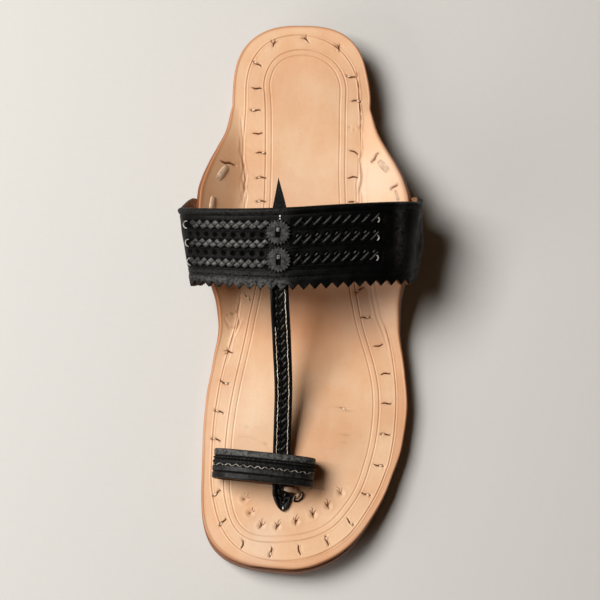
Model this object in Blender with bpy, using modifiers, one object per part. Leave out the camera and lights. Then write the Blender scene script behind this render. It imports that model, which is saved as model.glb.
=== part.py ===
"""A left leather toe-loop sandal, built as the sandal maker builds it.

A top sole with upturned side ears lies on an outsole and a heel lift. A black
instep band is carried on the ears. A centre strap runs under the band, is locked
through it and two rosettes, and ends on the sole inside a loop for the big toe.
Metres, +Z up, heel at +Y, toes at -Y, big toe at -X.
"""
import math
from collections import namedtuple

import bmesh
import bpy
from mathutils import Matrix, Vector

# Driving sizes of the sole
SOLE_LENGTH = 0.2776
HEEL_WIDTH = 0.0710
WAIST_WIDTH = 0.0630
BALL_WIDTH = 0.1015
HEEL_SEAT_HEIGHT = 0.0205
TOE_SPRING = 0.0085
TOP_SOLE_THICKNESS = 0.0032
OUTSOLE_THICKNESS = 0.0080
SEAM_GAP = 0.0003
EDGE_BEVEL = 0.0005
HEEL_LIFT_LENGTH = 0.0650
HEEL_BREAST_CURVE = 0.0040
HEEL_LIFT_INSET = 0.0006

# Ends of the outline, as superellipses
HEEL_CAP_LENGTH = 0.0410
TOE_CAP_LENGTH = 0.0450
HEEL_CAP_POWER = 2.5
TOE_CAP_POWER_BIG_TOE = 2.9
TOE_CAP_POWER_LITTLE_TOE = 2.4

# Ears of the top sole
EAR_REACH_BIG_TOE = 0.0198
EAR_REACH_LITTLE_TOE = 0.0214
EAR_RISE = 0.0190
EAR_BEND_SOFTNESS = 0.25
FOLD_SHARE = 0.90

# Instep band
BAND_WIDTH = 0.0384
BAND_PLACE = 0.1245
BAND_SPAN = 0.1168
BAND_INNER_HEIGHT = 0.0680
BAND_WALL = 0.0024
BRAID_RAISE = 0.0010
BAND_GAP = 0.0005
ROSETTE_SEAT_GAP = 0.0005
TOOTH_PITCH = 0.0052
TOOTH_DEPTH = 0.0023
BAND_TUCK = 0.24

# Centre strap
STRAP_WIDTH = 0.0094
STRAP_WALL = 0.0018
STRAP_BRAID_RAISE = 0.0012
STRAP_BRAID_SHARE = 0.64
STRAP_GAP = 0.0006
TAIL_LENGTH = 0.0134
TAIL_LIFT = 0.8
STRAP_OVERRUN = 0.0024
STRAP_STEP_LENGTH = 0.0035
STRAP_END_LENGTH = 0.0120
STRAP_ROUNDING = 0.0070

# Toe loop
LOOP_LENGTH = 0.0514
LOOP_HEIGHT = 0.0245
LOOP_WIDTH = 0.0138
LOOP_WALL = 0.0026
LOOP_TURN = math.radians(-4.2)
LOOP_PLACE = 0.2289
LOOP_SIDE = -0.0108

# Rosettes and the tabs that lock them
ROSETTE_DIAMETER = 0.0117
ROSETTE_THICKNESS = 0.0012
ROSETTE_TOOTH = 0.0007
ROSETTE_TEETH = 20
ROSETTE_GAP = 0.0004
ROSETTE_SHIFT = 0.0016
TAB_WIDTH = 0.0012
TAB_LENGTH = 0.0024
TAB_PROUD = 0.0006
SLOT_CLEARANCE = 0.0004
SLOT_LENGTH = 0.0052

# The band's middle stands to the little-toe side of the heel-to-toe line
BAND_MIDDLE = 0.0032

BIG_TOE, LITTLE_TOE = -1, 1
WIDTHS = {"heel": HEEL_WIDTH, "waist": WAIST_WIDTH, "ball": BALL_WIDTH}

# Outline of the outsole: half widths as shares of the named width
Outline = namedtuple("Outline", "along size big_toe little_toe")
OUTLINE = [
    Outline(0.00, "heel", 0.465, 0.487),
    Outline(0.08, "heel", 0.470, 0.504),
    Outline(0.145, "heel", 0.473, 0.530),
    Outline(0.20, "waist", 0.497, 0.586),
    Outline(0.25, "waist", 0.457, 0.565),
    Outline(0.30, "waist", 0.438, 0.562),
    Outline(0.37, "waist", 0.438, 0.584),
    Outline(0.44, "waist", 0.438, 0.625),
    Outline(0.51, "waist", 0.454, 0.689),
    Outline(0.565, "ball", 0.315, 0.489),
    Outline(0.62, "ball", 0.370, 0.552),
    Outline(0.66, "ball", 0.398, 0.579),
    Outline(0.70, "ball", 0.413, 0.587),
    Outline(0.77, "ball", 0.422, 0.566),
    Outline(0.84, "ball", 0.420, 0.500),
    Outline(0.90, "ball", 0.418, 0.434),
    Outline(0.95, "ball", 0.414, 0.378),
    Outline(1.00, "ball", 0.405, 0.270),
]

# Side profile: how much of the heel's height and of the toe spring is reached
Profile = namedtuple("Profile", "along heel toe")
PROFILE = [
    Profile(0.00, 1.00, 0.00),
    Profile(0.25, 1.00, 0.00),
    Profile(0.32, 0.86, 0.00),
    Profile(0.41, 0.57, 0.00),
    Profile(0.50, 0.28, 0.00),
    Profile(0.58, 0.07, 0.00),
    Profile(0.64, 0.00, 0.00),
    Profile(0.76, 0.00, 0.00),
    Profile(0.82, 0.00, 0.09),
    Profile(0.88, 0.00, 0.29),
    Profile(0.94, 0.00, 0.61),
    Profile(1.00, 0.00, 1.00),
]

# Ears: shares of the reach beyond the outsole and of the rise
Ear = namedtuple("Ear", "along reach rise")
EARS = [
    Ear(0.155, 0.00, 0.00),
    Ear(0.20, 0.20, 0.12),
    Ear(0.24, 0.50, 0.37),
    Ear(0.27, 0.72, 0.57),
    Ear(0.30, 0.89, 0.76),
    Ear(0.33, 0.98, 0.91),
    Ear(0.37, 1.00, 1.00),
    Ear(0.41, 0.97, 0.98),
    Ear(0.45, 0.83, 0.84),
    Ear(0.48, 0.66, 0.66),
    Ear(0.51, 0.48, 0.47),
    Ear(0.54, 0.32, 0.27),
    Ear(0.57, 0.18, 0.12),
    Ear(0.60, 0.09, 0.04),
    Ear(0.65, 0.00, 0.00),
]

# Edges of the band: distance towards the heel, as shares of its width
BandEdge = namedtuple("BandEdge", "side level back front")
BAND_EDGES = [
    BandEdge(BIG_TOE, "top", 0.50, -0.50),
    BandEdge(BIG_TOE, "bulge", 0.55, -0.41),
    BandEdge(BIG_TOE, "ear", 0.76, -0.39),
    BandEdge(LITTLE_TOE, "top", 0.50, -0.50),
    BandEdge(LITTLE_TOE, "bulge", 0.73, -0.22),
    BandEdge(LITTLE_TOE, "ear", 0.86, -0.18),
]

# Section of the band at its two edges: shares of its inner height and span
BandForm = namedtuple("BandForm", "top bulge big_toe little_toe")
BAND_FORMS = {
    "back": BandForm(1.000, 0.66, 0.500, 0.494),
    "front": BandForm(0.875, 0.60, 0.440, 0.466),
}
TOP_ROUNDNESS = 0.57
BULGE_HANDLE = 0.30

# Lines across the band from back edge to front edge, and the wall at each
BandLine = namedtuple("BandLine", "across raised")
BAND_LINES = [
    BandLine(0.00, 0.6), BandLine(0.07, 0.6), BandLine(0.11, 0.0),
    BandLine(0.14, 1.0), BandLine(0.27, 1.0), BandLine(0.30, 0.0),
    BandLine(0.37, 0.0), BandLine(0.40, 1.0), BandLine(0.52, 1.0),
    BandLine(0.55, 0.0), BandLine(0.62, 0.0), BandLine(0.65, 1.0),
    BandLine(0.77, 1.0), BandLine(0.80, 0.0), BandLine(0.90, 0.0),
    BandLine(0.97, 0.0),
]
# The braided strips stop at the rosettes and before the ends of the band
BRAID_BIG_TOE_REACH = 0.0520
BRAID_LITTLE_TOE_REACH = 0.0420
BRAID_CLEAR_OF_ROSETTE = 0.0030

# Centre strap between band and loop: share of the drop still to come, and place
Fall = namedtuple("Fall", "along left")
STRAP_FALL = [
    Fall(0.00, 1.00), Fall(0.08, 0.955), Fall(0.17, 0.83), Fall(0.30, 0.61),
    Fall(0.45, 0.385), Fall(0.60, 0.255), Fall(0.75, 0.155), Fall(0.88, 0.07),
    Fall(1.00, 0.00),
]
# Middle line and width of the strap at shares of the sole's length
StrapLine = namedtuple("StrapLine", "along side width")
STRAP_LINES = [
    StrapLine(0.325, -0.078, 0.06),
    StrapLine(0.372, -0.069, 0.70),
    StrapLine(0.43, -0.064, 0.88),
    StrapLine(0.51, -0.052, 0.96),
    StrapLine(0.60, -0.038, 0.99),
    StrapLine(0.70, -0.026, 0.95),
    StrapLine(0.79, -0.028, 0.96),
    StrapLine(0.85, -0.018, 1.06),
    StrapLine(0.90, -0.010, 1.06),
]

# Numbers of faces
HEEL_STEPS, MIDDLE_STEPS, TOE_STEPS = 8, 30, 9
STRAP_STEPS = 54
LOOP_STEPS, LOOP_COLUMNS = 44, 4

LEATHER_TAN = (0.78, 0.49, 0.29)
LEATHER_EDGE = (0.36, 0.17, 0.08)
LEATHER_STACK = (0.30, 0.15, 0.07)
LEATHER_BLACK = (0.012, 0.012, 0.013)


def read(table, column, along):
    """A column of a table at a place along it, on a curve with no overshoot."""
    places = [row.along for row in table]
    values = [column(row) for row in table]
    last = len(table) - 1
    along = min(max(along, places[0]), places[last])
    row = max(k for k in range(last) if places[k] <= along)
    slopes = [(values[k + 1] - values[k]) / (places[k + 1] - places[k]) for k in range(last)]

    def tangent(k):
        if k in (0, last):
            return slopes[min(k, last - 1)]
        before, after = slopes[k - 1], slopes[k]
        if before * after <= 0:
            return 0.0
        return 2 * before * after / (before + after)

    step = places[row + 1] - places[row]
    t = (along - places[row]) / step
    start, end = tangent(row) * step, tangent(row + 1) * step
    low, high = values[row], values[row + 1]
    return (low * (1 + 2 * t) * (1 - t) ** 2 + start * t * (1 - t) ** 2
            + high * t * t * (3 - 2 * t) - end * t * t * (1 - t))


def mix(low, high, share):
    return low + (high - low) * share


def cap(distance, length, power):
    """Share of the width left at a distance from a rounded end."""
    if distance >= length:
        return 1.0
    return (1 - (1 - distance / length) ** power) ** (1 / power)


BALL_HEIGHT = TOP_SOLE_THICKNESS + SEAM_GAP + OUTSOLE_THICKNESS


def seat_height(along):
    """Top face of the flat part of the top sole above the floor."""
    heel = read(PROFILE, lambda row: row.heel, along)
    toe = read(PROFILE, lambda row: row.toe, along)
    return BALL_HEIGHT + (HEEL_SEAT_HEIGHT - BALL_HEIGHT) * heel + TOE_SPRING * toe


def seat_slope(along):
    """Slope of the seat: how much it rises for each metre towards the heel."""
    step = 0.002
    low, high = max(along - step, 0.0), min(along + step, 1.0)
    return (seat_height(low) - seat_height(high)) / ((high - low) * SOLE_LENGTH)


# The sprung toe tilts the sole's edge, so the outsole reaches past the top sole
TOE_OVERHANG = BALL_HEIGHT * math.sin(math.atan(-seat_slope(1.0)))
HEEL_Y = (SOLE_LENGTH + TOE_OVERHANG) / 2


def along_at(y):
    return (HEEL_Y - y) / SOLE_LENGTH


def y_at(along):
    return HEEL_Y - along * SOLE_LENGTH


def half_width(side, along):
    """Half width of the outsole on one side."""
    column = "big_toe" if side == BIG_TOE else "little_toe"
    width = read(OUTLINE, lambda row: getattr(row, column) * WIDTHS[row.size], along)
    power = TOE_CAP_POWER_BIG_TOE if side == BIG_TOE else TOE_CAP_POWER_LITTLE_TOE
    heel = cap(along * SOLE_LENGTH, HEEL_CAP_LENGTH, HEEL_CAP_POWER)
    toe = cap((1 - along) * SOLE_LENGTH, TOE_CAP_LENGTH, power)
    return width * heel * toe


def ear_reach(side, along):
    """How far the ear's rim lies outside the outsole."""
    reach = EAR_REACH_BIG_TOE if side == BIG_TOE else EAR_REACH_LITTLE_TOE
    return reach * read(EARS, lambda row: row.reach, along)


def seat_point(side, along, flat, ear):
    """A point of the top face: flat runs 0 to 1 to the fold, ear 0 to 1 to the rim."""
    width = half_width(side, along)
    fold = FOLD_SHARE * width
    out = fold * flat + (width - fold + ear_reach(side, along)) * ear
    soft = EAR_BEND_SOFTNESS
    bend = (math.hypot(ear, soft) - soft) / (math.hypot(1, soft) - soft)
    rise = EAR_RISE * read(EARS, lambda row: row.rise, along) * bend
    return Vector((side * out, y_at(along), seat_height(along) + rise))


def ear_outside(side, along, ear, gap):
    """A point a gap outside the ear's outer face."""
    step = 0.002
    across = seat_point(side, along, 1, ear + step) - seat_point(side, along, 1, ear - step)
    toward_heel = seat_point(side, along - step, 1, ear) - seat_point(side, along + step, 1, ear)
    normal = across.cross(toward_heel) * side
    return seat_point(side, along, 1, ear) - normal.normalized() * (TOP_SOLE_THICKNESS + gap)


def below_seat(side, along, share, depth):
    """A point at a depth below the flat top face, square to it."""
    slope = math.atan(seat_slope(along))
    lean = Vector((0, -math.sin(slope), math.cos(slope)))
    place = Vector((side * half_width(side, along) * share, y_at(along), seat_height(along)))
    return place - lean * depth


def stations():
    """Shares of the length, close together round the heel and the toe."""
    def end_places(steps, length, power):
        turns = [math.pi / 2 * k / steps for k in range(steps)]
        return [length / SOLE_LENGTH * (1 - math.cos(turn) ** (2 / power)) for turn in turns]

    heel = end_places(HEEL_STEPS, HEEL_CAP_LENGTH, HEEL_CAP_POWER)
    toe = end_places(TOE_STEPS, TOE_CAP_LENGTH, TOE_CAP_POWER_LITTLE_TOE)
    first, last = HEEL_CAP_LENGTH / SOLE_LENGTH, 1 - TOE_CAP_LENGTH / SOLE_LENGTH
    middle = [mix(first, last, k / MIDDLE_STEPS) for k in range(MIDDLE_STEPS + 1)]
    return heel + middle + [1 - place for place in reversed(toe)]


def clear_scene():
    for item in list(bpy.data.objects):
        bpy.data.objects.remove(item, do_unlink=True)


def leather(name, colour, roughness):
    material = bpy.data.materials.new(name)
    material.use_nodes = True
    shader = material.node_tree.nodes["Principled BSDF"]
    shader.inputs["Base Color"].default_value = (*colour, 1)
    shader.inputs["Roughness"].default_value = roughness
    shader.inputs["Metallic"].default_value = 0.0
    return material


def new_collection(name):
    collection = bpy.data.collections.new(name)
    bpy.context.scene.collection.children.link(collection)
    return collection


def move_to(item, collection):
    for owner in list(item.users_collection):
        owner.objects.unlink(item)
    collection.objects.link(item)


def sheet(name, columns, rows, point, collection):
    """An open grid whose vertex (column, row) stands where point says."""
    bpy.ops.mesh.primitive_grid_add(x_subdivisions=columns - 1, y_subdivisions=rows - 1, size=2)
    item = bpy.context.object
    item.name = name
    item.data.name = name
    for vertex in item.data.vertices:
        column = round((vertex.co.x + 1) / 2 * (columns - 1))
        row = round((vertex.co.y + 1) / 2 * (rows - 1))
        vertex.co = point(column, row)
    move_to(item, collection)
    return item


def merge_doubles(item):
    mesh = bmesh.new()
    mesh.from_mesh(item.data)
    bmesh.ops.remove_doubles(mesh, verts=mesh.verts, dist=0.00001)
    mesh.to_mesh(item.data)
    mesh.free()


def weigh(item, weights):
    """Vertex group 'wall' that scales the wall's thickness."""
    group = item.vertex_groups.new(name="wall")
    for index, weight in enumerate(weights):
        group.add([index], weight, "REPLACE")


def thicken(item, thickness, offset, weighted=False):
    wall = item.modifiers.new("wall", "SOLIDIFY")
    wall.thickness = thickness
    wall.offset = offset
    wall.use_rim = True
    if weighted:
        wall.vertex_group = "wall"


def ease_edges(item, width, angle=math.radians(50)):
    bevel = item.modifiers.new("eased edge", "BEVEL")
    bevel.width = width
    bevel.segments = 1
    bevel.limit_method = "ANGLE"
    bevel.angle_limit = angle


def finish_mesh(item, material, parent):
    item.data.shade_smooth()
    item.data.set_sharp_from_angle(angle=math.radians(35))
    item.data.materials.append(material)
    item.parent = parent


def boolean(item, cutter, operation):
    step = item.modifiers.new(cutter.name, "BOOLEAN")
    step.operation = operation
    step.solver = "EXACT"
    step.object = cutter


def block(name, centre, size, turn, collection, parent):
    """A turned box, used as a cutter or joined to a piece."""
    bpy.ops.mesh.primitive_cube_add(size=1)
    item = bpy.context.object
    item.name = name
    for vertex in item.data.vertices:
        vertex.co = Vector(a * b for a, b in zip(vertex.co, size))
    item.location = centre
    item.rotation_mode = "QUATERNION"
    item.rotation_quaternion = turn
    item.parent = parent
    item.hide_render = True
    item.display_type = "WIRE"
    move_to(item, collection)
    return item


def make_top_sole(collection, parent):
    """The seat and its two upturned ears, one piece of thick tan leather."""
    flats = [0.0, 0.5, 1.0]
    ears = [0.2, 0.4, 0.6, 0.8, 1.0]
    half = [(flat, 0.0) for flat in flats] + [(1.0, ear) for ear in ears]
    places = stations()
    middle = len(half) - 1

    def point(column, row):
        side = BIG_TOE if column < middle else LITTLE_TOE
        flat, ear = half[abs(column - middle)]
        return seat_point(side, places[len(places) - 1 - row], flat, ear)

    item = sheet("top_sole", 2 * middle + 1, len(places), point, collection)
    merge_doubles(item)
    thicken(item, TOP_SOLE_THICKNESS, -1)
    ease_edges(item, EDGE_BEVEL)
    finish_mesh(item, leather("tan vegetable tanned leather", LEATHER_TAN, 0.48), parent)


def make_outsole(collection, parent):
    """The walking sole, square to the seat all along, flat under the ball."""
    shares = [-1.0, -0.5, 0.0, 0.5, 1.0]
    places = stations()
    depth = TOP_SOLE_THICKNESS + SEAM_GAP

    def point(column, row):
        share = shares[column]
        side = BIG_TOE if share < 0 else LITTLE_TOE
        return below_seat(side, places[len(places) - 1 - row], abs(share), depth)

    item = sheet("outsole", len(shares), len(places), point, collection)
    merge_doubles(item)
    thicken(item, OUTSOLE_THICKNESS, -1)
    ease_edges(item, EDGE_BEVEL)
    finish_mesh(item, leather("brown sole leather", LEATHER_EDGE, 0.6), parent)


def make_heel_lift(collection, parent):
    """The low block under the heel, with a hollow front face."""
    shares = [-1.0, -0.75, -0.5, -0.25, 0.0, 0.25, 0.5, 0.75, 1.0]
    front = HEEL_LIFT_LENGTH / SOLE_LENGTH
    places = [place for place in stations() if place < front * 0.97] + [front]
    top = HEEL_SEAT_HEIGHT - BALL_HEIGHT - SEAM_GAP
    inset = 1 - 2 * HEEL_LIFT_INSET / HEEL_WIDTH

    def point(column, row):
        along, share = places[len(places) - 1 - row], shares[column]
        side = BIG_TOE if share < 0 else LITTLE_TOE
        hollow = HEEL_BREAST_CURVE * (1 - share * share) * (along / front) ** 4
        y = y_at(along) + hollow - HEEL_LIFT_INSET * (1 - along / front)
        return Vector((side * half_width(side, along) * abs(share) * inset, y, top))

    item = sheet("heel_lift", len(shares), len(places), point, collection)
    merge_doubles(item)
    thicken(item, top, -1)
    ease_edges(item, EDGE_BEVEL)
    finish_mesh(item, leather("stacked heel leather", LEATHER_STACK, 0.6), parent)


def band_y(side, level, across):
    """Place of the band between its back edge (0) and front edge (1)."""
    row = next(row for row in BAND_EDGES if row.side == side and row.level == level)
    return y_at(BAND_PLACE / SOLE_LENGTH) + BAND_WIDTH * mix(row.back, row.front, across)


def bezier(start, start_handle, end_handle, end, steps):
    places = [k / steps for k in range(steps)]
    return [start * (1 - t) ** 3 + start_handle * 3 * t * (1 - t) ** 2
            + end_handle * 3 * t * t * (1 - t) + end * t ** 3 for t in places]


def resample(points, count):
    """Points spaced evenly along a polyline."""
    lengths = [0.0]
    for before, after in zip(points, points[1:]):
        lengths.append(lengths[-1] + (after - before).length)
    spaced, k = [], 0
    for number in range(count + 1):
        target = lengths[-1] * number / count
        while k < len(points) - 2 and lengths[k + 1] < target:
            k += 1
        share = (target - lengths[k]) / (lengths[k + 1] - lengths[k])
        spaced.append(points[k].lerp(points[k + 1], min(share, 1.0)))
    return spaced


def band_side(side, across, cells):
    """Inner face of one half of the band, from the top down to the tucked end."""
    back, front = BAND_FORMS["back"], BAND_FORMS["front"]
    column = "big_toe" if side == BIG_TOE else "little_toe"
    reach = BAND_SPAN * mix(getattr(back, column), getattr(front, column), across)
    top_z = BAND_INNER_HEIGHT * mix(back.top, front.top, across)
    bulge_z = BAND_INNER_HEIGHT * mix(back.bulge, front.bulge, across)
    y_top, y_bulge, y_ear = (band_y(side, level, across) for level in ("top", "bulge", "ear"))
    slant = mix(y_top, y_bulge, 0.4) if side == LITTLE_TOE else y_top - 0.0016
    top = Vector((BAND_MIDDLE, y_top, top_z))
    bulge = Vector((BAND_MIDDLE + side * reach, y_bulge, bulge_z))
    wide = Vector((side * reach * TOP_ROUNDNESS, 0, 0))
    tall = Vector((0, 0, (top_z - bulge_z) * TOP_ROUNDNESS))
    top_handle, bulge_handle = top + wide, bulge + tall
    top_handle.y = slant
    bulge_handle.y = mix(y_top, y_bulge, 0.8)
    along = along_at(y_ear)
    rim, inside = (ear_outside(side, along, ear, BAND_GAP) for ear in (1.04, 0.9))
    outward = (rim - inside).normalized()
    handle = (bulge - rim).length * BULGE_HANDLE
    curve = bezier(top, top_handle, bulge_handle, bulge, 24)
    down = Vector((0, (y_ear - y_bulge) * 0.3, -handle))
    curve += bezier(bulge, bulge + down, rim + outward * handle, rim, 8)
    for step in range(9):
        curve.append(ear_outside(side, along, mix(1.04, BAND_TUCK, step / 8), BAND_GAP))
    return resample(curve, cells)


def band_section(across, cells):
    """Inner face of the band from its big-toe end over the top to the other end."""
    left = band_side(BIG_TOE, across, cells)
    right = band_side(LITTLE_TOE, across, cells)
    return left[::-1] + right[1:]


def band_top(x, y):
    """Height of the band's inner face over a place near its middle."""
    across = (band_y(BIG_TOE, "top", 0) - y) / BAND_WIDTH
    side = BIG_TOE if x < BAND_MIDDLE else LITTLE_TOE
    line = band_side(side, across, 60)
    k = next(k for k in range(60) if (line[k + 1].x - x) * side >= 0)
    share = (x - line[k].x) / (line[k + 1].x - line[k].x)
    return mix(line[k].z, line[k + 1].z, share)


def band_turn(x, y):
    """Rotation that lays a flat piece on the band's face near its middle."""
    step = 0.003
    slope_x = (band_top(x + step, y) - band_top(x - step, y)) / (2 * step)
    slope_y = (band_top(x, y + step) - band_top(x, y - step)) / (2 * step)
    upward = Vector((-slope_x, -slope_y, 1)).normalized()
    across = Vector((0, 1, 0)).cross(upward).normalized()
    return Matrix((across, upward.cross(across), upward)).transposed().to_quaternion()


def band_lean():
    """Angle of the band's top about X, rising towards the heel."""
    fall = BAND_FORMS["back"].top - BAND_FORMS["front"].top
    return math.atan(BAND_INNER_HEIGHT * fall / BAND_WIDTH)


def rosette_places():
    """Centres of the rosettes on the strap's middle line, heel end first."""
    middle = y_at(BAND_PLACE / SOLE_LENGTH) + ROSETTE_SHIFT
    apart = (ROSETTE_DIAMETER + ROSETTE_GAP) / 2 / math.cos(band_lean())
    places = []
    for y in (middle + apart, middle - apart):
        x = strap_side(along_at(y))
        places.append(Vector((x, y, band_top(x, y))))
    return places


def in_braid(x):
    """Whether the braided strips reach this distance across the foot."""
    rosette = strap_side(along_at(y_at(BAND_PLACE / SOLE_LENGTH)))
    clear = ROSETTE_DIAMETER / 2 + BRAID_CLEAR_OF_ROSETTE
    if abs(x - rosette) < clear:
        return False
    return -BRAID_BIG_TOE_REACH < x < BRAID_LITTLE_TOE_REACH


def make_instep_band(collection, cutters, parent):
    """One wall of black leather over the instep, its braids raised, its front pinked."""
    half_length = sum((a - b).length for a, b in zip(
        band_side(BIG_TOE, 1.0, 40), band_side(BIG_TOE, 1.0, 40)[1:]))
    teeth = round(half_length / TOOTH_PITCH)
    cells = 2 * teeth
    tooth = TOOTH_DEPTH / 2 / BAND_WIDTH
    lines = [band_section(line.across, cells) for line in BAND_LINES]
    peaks, notches = band_section(1 + tooth, cells), band_section(1 - tooth, cells)
    rows = len(lines) + 1

    def point(column, row):
        line = rows - 1 - row
        if line < len(lines):
            return lines[line][column]
        return peaks[column] if column % 2 else notches[column]

    item = sheet("instep_band", 2 * cells + 1, rows, point, collection)
    full = BAND_WALL + BRAID_RAISE
    weights = []
    for index, vertex in enumerate(item.data.vertices):
        line = rows - 1 - index // (2 * cells + 1)
        raised = BAND_LINES[line].raised if line < len(lines) else 0.0
        shown = raised if line < 2 or in_braid(vertex.co.x) else 0.0
        weights.append((BAND_WALL + BRAID_RAISE * shown) / full)
    weigh(item, weights)
    thicken(item, full, 1, weighted=True)
    for number, place in enumerate(rosette_places()):
        size = (TAB_WIDTH + 2 * SLOT_CLEARANCE, SLOT_LENGTH, 6 * full)
        cutter = block(f"band slot {number}", place, size, band_turn(*place.xy), cutters, parent)
        boolean(item, cutter, "DIFFERENCE")
    finish_mesh(item, leather("black band leather", LEATHER_BLACK, 0.42), parent)


def strap_side(along):
    return BALL_WIDTH * read(STRAP_LINES, lambda row: row.side, along)


def strap_bottom(y):
    """Height of the strap's under face along its run."""
    back, front = band_y(BIG_TOE, "top", 0), band_y(BIG_TOE, "top", 1)
    loop_y = y_at(LOOP_PLACE / SOLE_LENGTH)
    loop_back, loop_front = loop_y + LOOP_WIDTH / 2, loop_y - LOOP_WIDTH / 2
    under = STRAP_GAP + STRAP_WALL
    over_loop = SEAM_GAP + LOOP_WALL + STRAP_GAP

    def under_band(y):
        side, half = strap_side(along_at(y)), strap_half_width(y)
        return min(band_top(side - half, y), band_top(side + half, y)) - under

    if y > back:
        return under_band(back) + (y - back) * math.tan(band_lean()) * TAIL_LIFT
    if y >= front:
        return under_band(y)
    start = under_band(front)
    if y >= loop_back:
        end = seat_height(along_at(loop_back)) + over_loop
        left = read(STRAP_FALL, lambda row: row.left, (front - y) / (front - loop_back))
        return mix(end, start, left)
    clear = loop_front - STRAP_OVERRUN
    if y >= clear:
        return seat_height(along_at(y)) + over_loop
    down = min((clear - y) / STRAP_STEP_LENGTH, 1.0)
    ease = down * down * (3 - 2 * down)
    return seat_height(along_at(y)) + mix(over_loop, SEAM_GAP, ease)


def strap_half_width(y):
    """Half width of the strap, rounded at its toe end."""
    width = STRAP_WIDTH * read(STRAP_LINES, lambda row: row.width, along_at(y)) / 2
    end = y_at(LOOP_PLACE / SOLE_LENGTH) - LOOP_WIDTH / 2 - STRAP_END_LENGTH
    reach = (y - end) / STRAP_ROUNDING
    if reach >= 1:
        return width
    return width * math.sqrt(max(1 - (1 - reach) ** 2, 0.02))


def make_centre_strap(collection, cutters, parent):
    """The strap from its pointed tail under the band to its rounded end on the sole."""
    back, front = band_y(BIG_TOE, "top", 0), band_y(BIG_TOE, "top", 1)
    loop_y = y_at(LOOP_PLACE / SOLE_LENGTH)
    start = back + TAIL_LENGTH
    end = loop_y - LOOP_WIDTH / 2 - STRAP_END_LENGTH
    places = [mix(start, end, k / STRAP_STEPS) for k in range(STRAP_STEPS)]
    places += [end + STRAP_ROUNDING * share for share in (0.12, 0.04, 0.0)]
    shares = [-1.0, -STRAP_BRAID_SHARE - 0.08, -STRAP_BRAID_SHARE,
              STRAP_BRAID_SHARE, STRAP_BRAID_SHARE + 0.08, 1.0]
    full = STRAP_WALL + STRAP_BRAID_RAISE

    def point(column, row):
        y = places[len(places) - 1 - row]
        x = strap_side(along_at(y)) + shares[column] * strap_half_width(y)
        return Vector((x, y, strap_bottom(y)))

    item = sheet("centre_strap", len(shares), len(places), point, collection)
    braid_from, braid_to = front - STRAP_GAP, loop_y - LOOP_WIDTH / 2 - 0.002
    weights = []
    for index, vertex in enumerate(item.data.vertices):
        inner = 2 <= index % len(shares) <= 3 and braid_to < vertex.co.y < braid_from
        weights.append(1.0 if inner else STRAP_WALL / full)
    weigh(item, weights)
    thicken(item, full, 1, weighted=True)
    for number, place in enumerate(rosette_places()):
        height = STRAP_GAP + BAND_WALL + ROSETTE_SEAT_GAP + ROSETTE_THICKNESS + TAB_PROUD
        sunk = STRAP_WALL / 2
        turn = band_turn(*place.xy)
        back_in_slot = (SLOT_LENGTH - TAB_LENGTH) / 2 - SLOT_CLEARANCE
        centre = place + turn @ Vector((0, back_in_slot, (height - sunk) / 2 - STRAP_GAP))
        size = (TAB_WIDTH, TAB_LENGTH, height + sunk)
        tab = block(f"lock tab {number}", centre, size, turn, cutters, parent)
        boolean(item, tab, "UNION")
    finish_mesh(item, leather("black strap leather", LEATHER_BLACK, 0.42), parent)


def make_toe_loop(collection, parent):
    """A closed ring round the big toe, lying on the seat, with the strap through it."""
    long, tall = LOOP_LENGTH / 2 - LOOP_WALL, LOOP_HEIGHT / 2 - LOOP_WALL
    loop_y = y_at(LOOP_PLACE / SOLE_LENGTH)

    def point(column, row):
        turn = 2 * math.pi * column / LOOP_STEPS
        power = 2.4 if math.sin(turn) > 0 else 5.0
        a = long * math.copysign(abs(math.cos(turn)) ** (2 / power), math.cos(turn))
        c = tall * math.copysign(abs(math.sin(turn)) ** (2 / power), math.sin(turn))
        b = LOOP_WIDTH * (row / LOOP_COLUMNS - 0.5)
        x = LOOP_SIDE + a * math.cos(LOOP_TURN) - b * math.sin(LOOP_TURN)
        y = loop_y + a * math.sin(LOOP_TURN) + b * math.cos(LOOP_TURN)
        return Vector((x, y, seat_height(along_at(y)) + SEAM_GAP + LOOP_HEIGHT / 2 + c))

    item = sheet("toe_loop", LOOP_STEPS + 1, LOOP_COLUMNS + 1, point, collection)
    merge_doubles(item)
    item.data.flip_normals()
    thicken(item, LOOP_WALL, 1)
    finish_mesh(item, leather("black loop leather", LEATHER_BLACK, 0.42), parent)


def make_rosette(name, place, collection, cutters, parent):
    """A pinked disc with a slot, lying on the band's outer face."""
    bpy.ops.mesh.primitive_circle_add(vertices=2 * ROSETTE_TEETH, radius=ROSETTE_DIAMETER / 2,
                                      fill_type="TRIFAN")
    item = bpy.context.object
    item.name = name
    shrink = 1 - 2 * ROSETTE_TOOTH / ROSETTE_DIAMETER
    for index, vertex in enumerate(item.data.vertices):
        if index % 2 and vertex.co.length > 0:
            vertex.co *= shrink
    move_to(item, collection)
    thicken(item, ROSETTE_THICKNESS, 1)
    turn = band_turn(*place.xy)
    item.location = place + turn @ Vector((0, 0, BAND_WALL + ROSETTE_SEAT_GAP))
    item.rotation_mode = "QUATERNION"
    item.rotation_quaternion = turn
    size = (TAB_WIDTH + 2 * SLOT_CLEARANCE, SLOT_LENGTH, 8 * ROSETTE_THICKNESS)
    cutter = block(f"{name} slot", item.location, size, turn, cutters, parent)
    boolean(item, cutter, "DIFFERENCE")
    finish_mesh(item, leather(f"{name} leather", LEATHER_BLACK, 0.45), parent)


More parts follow.
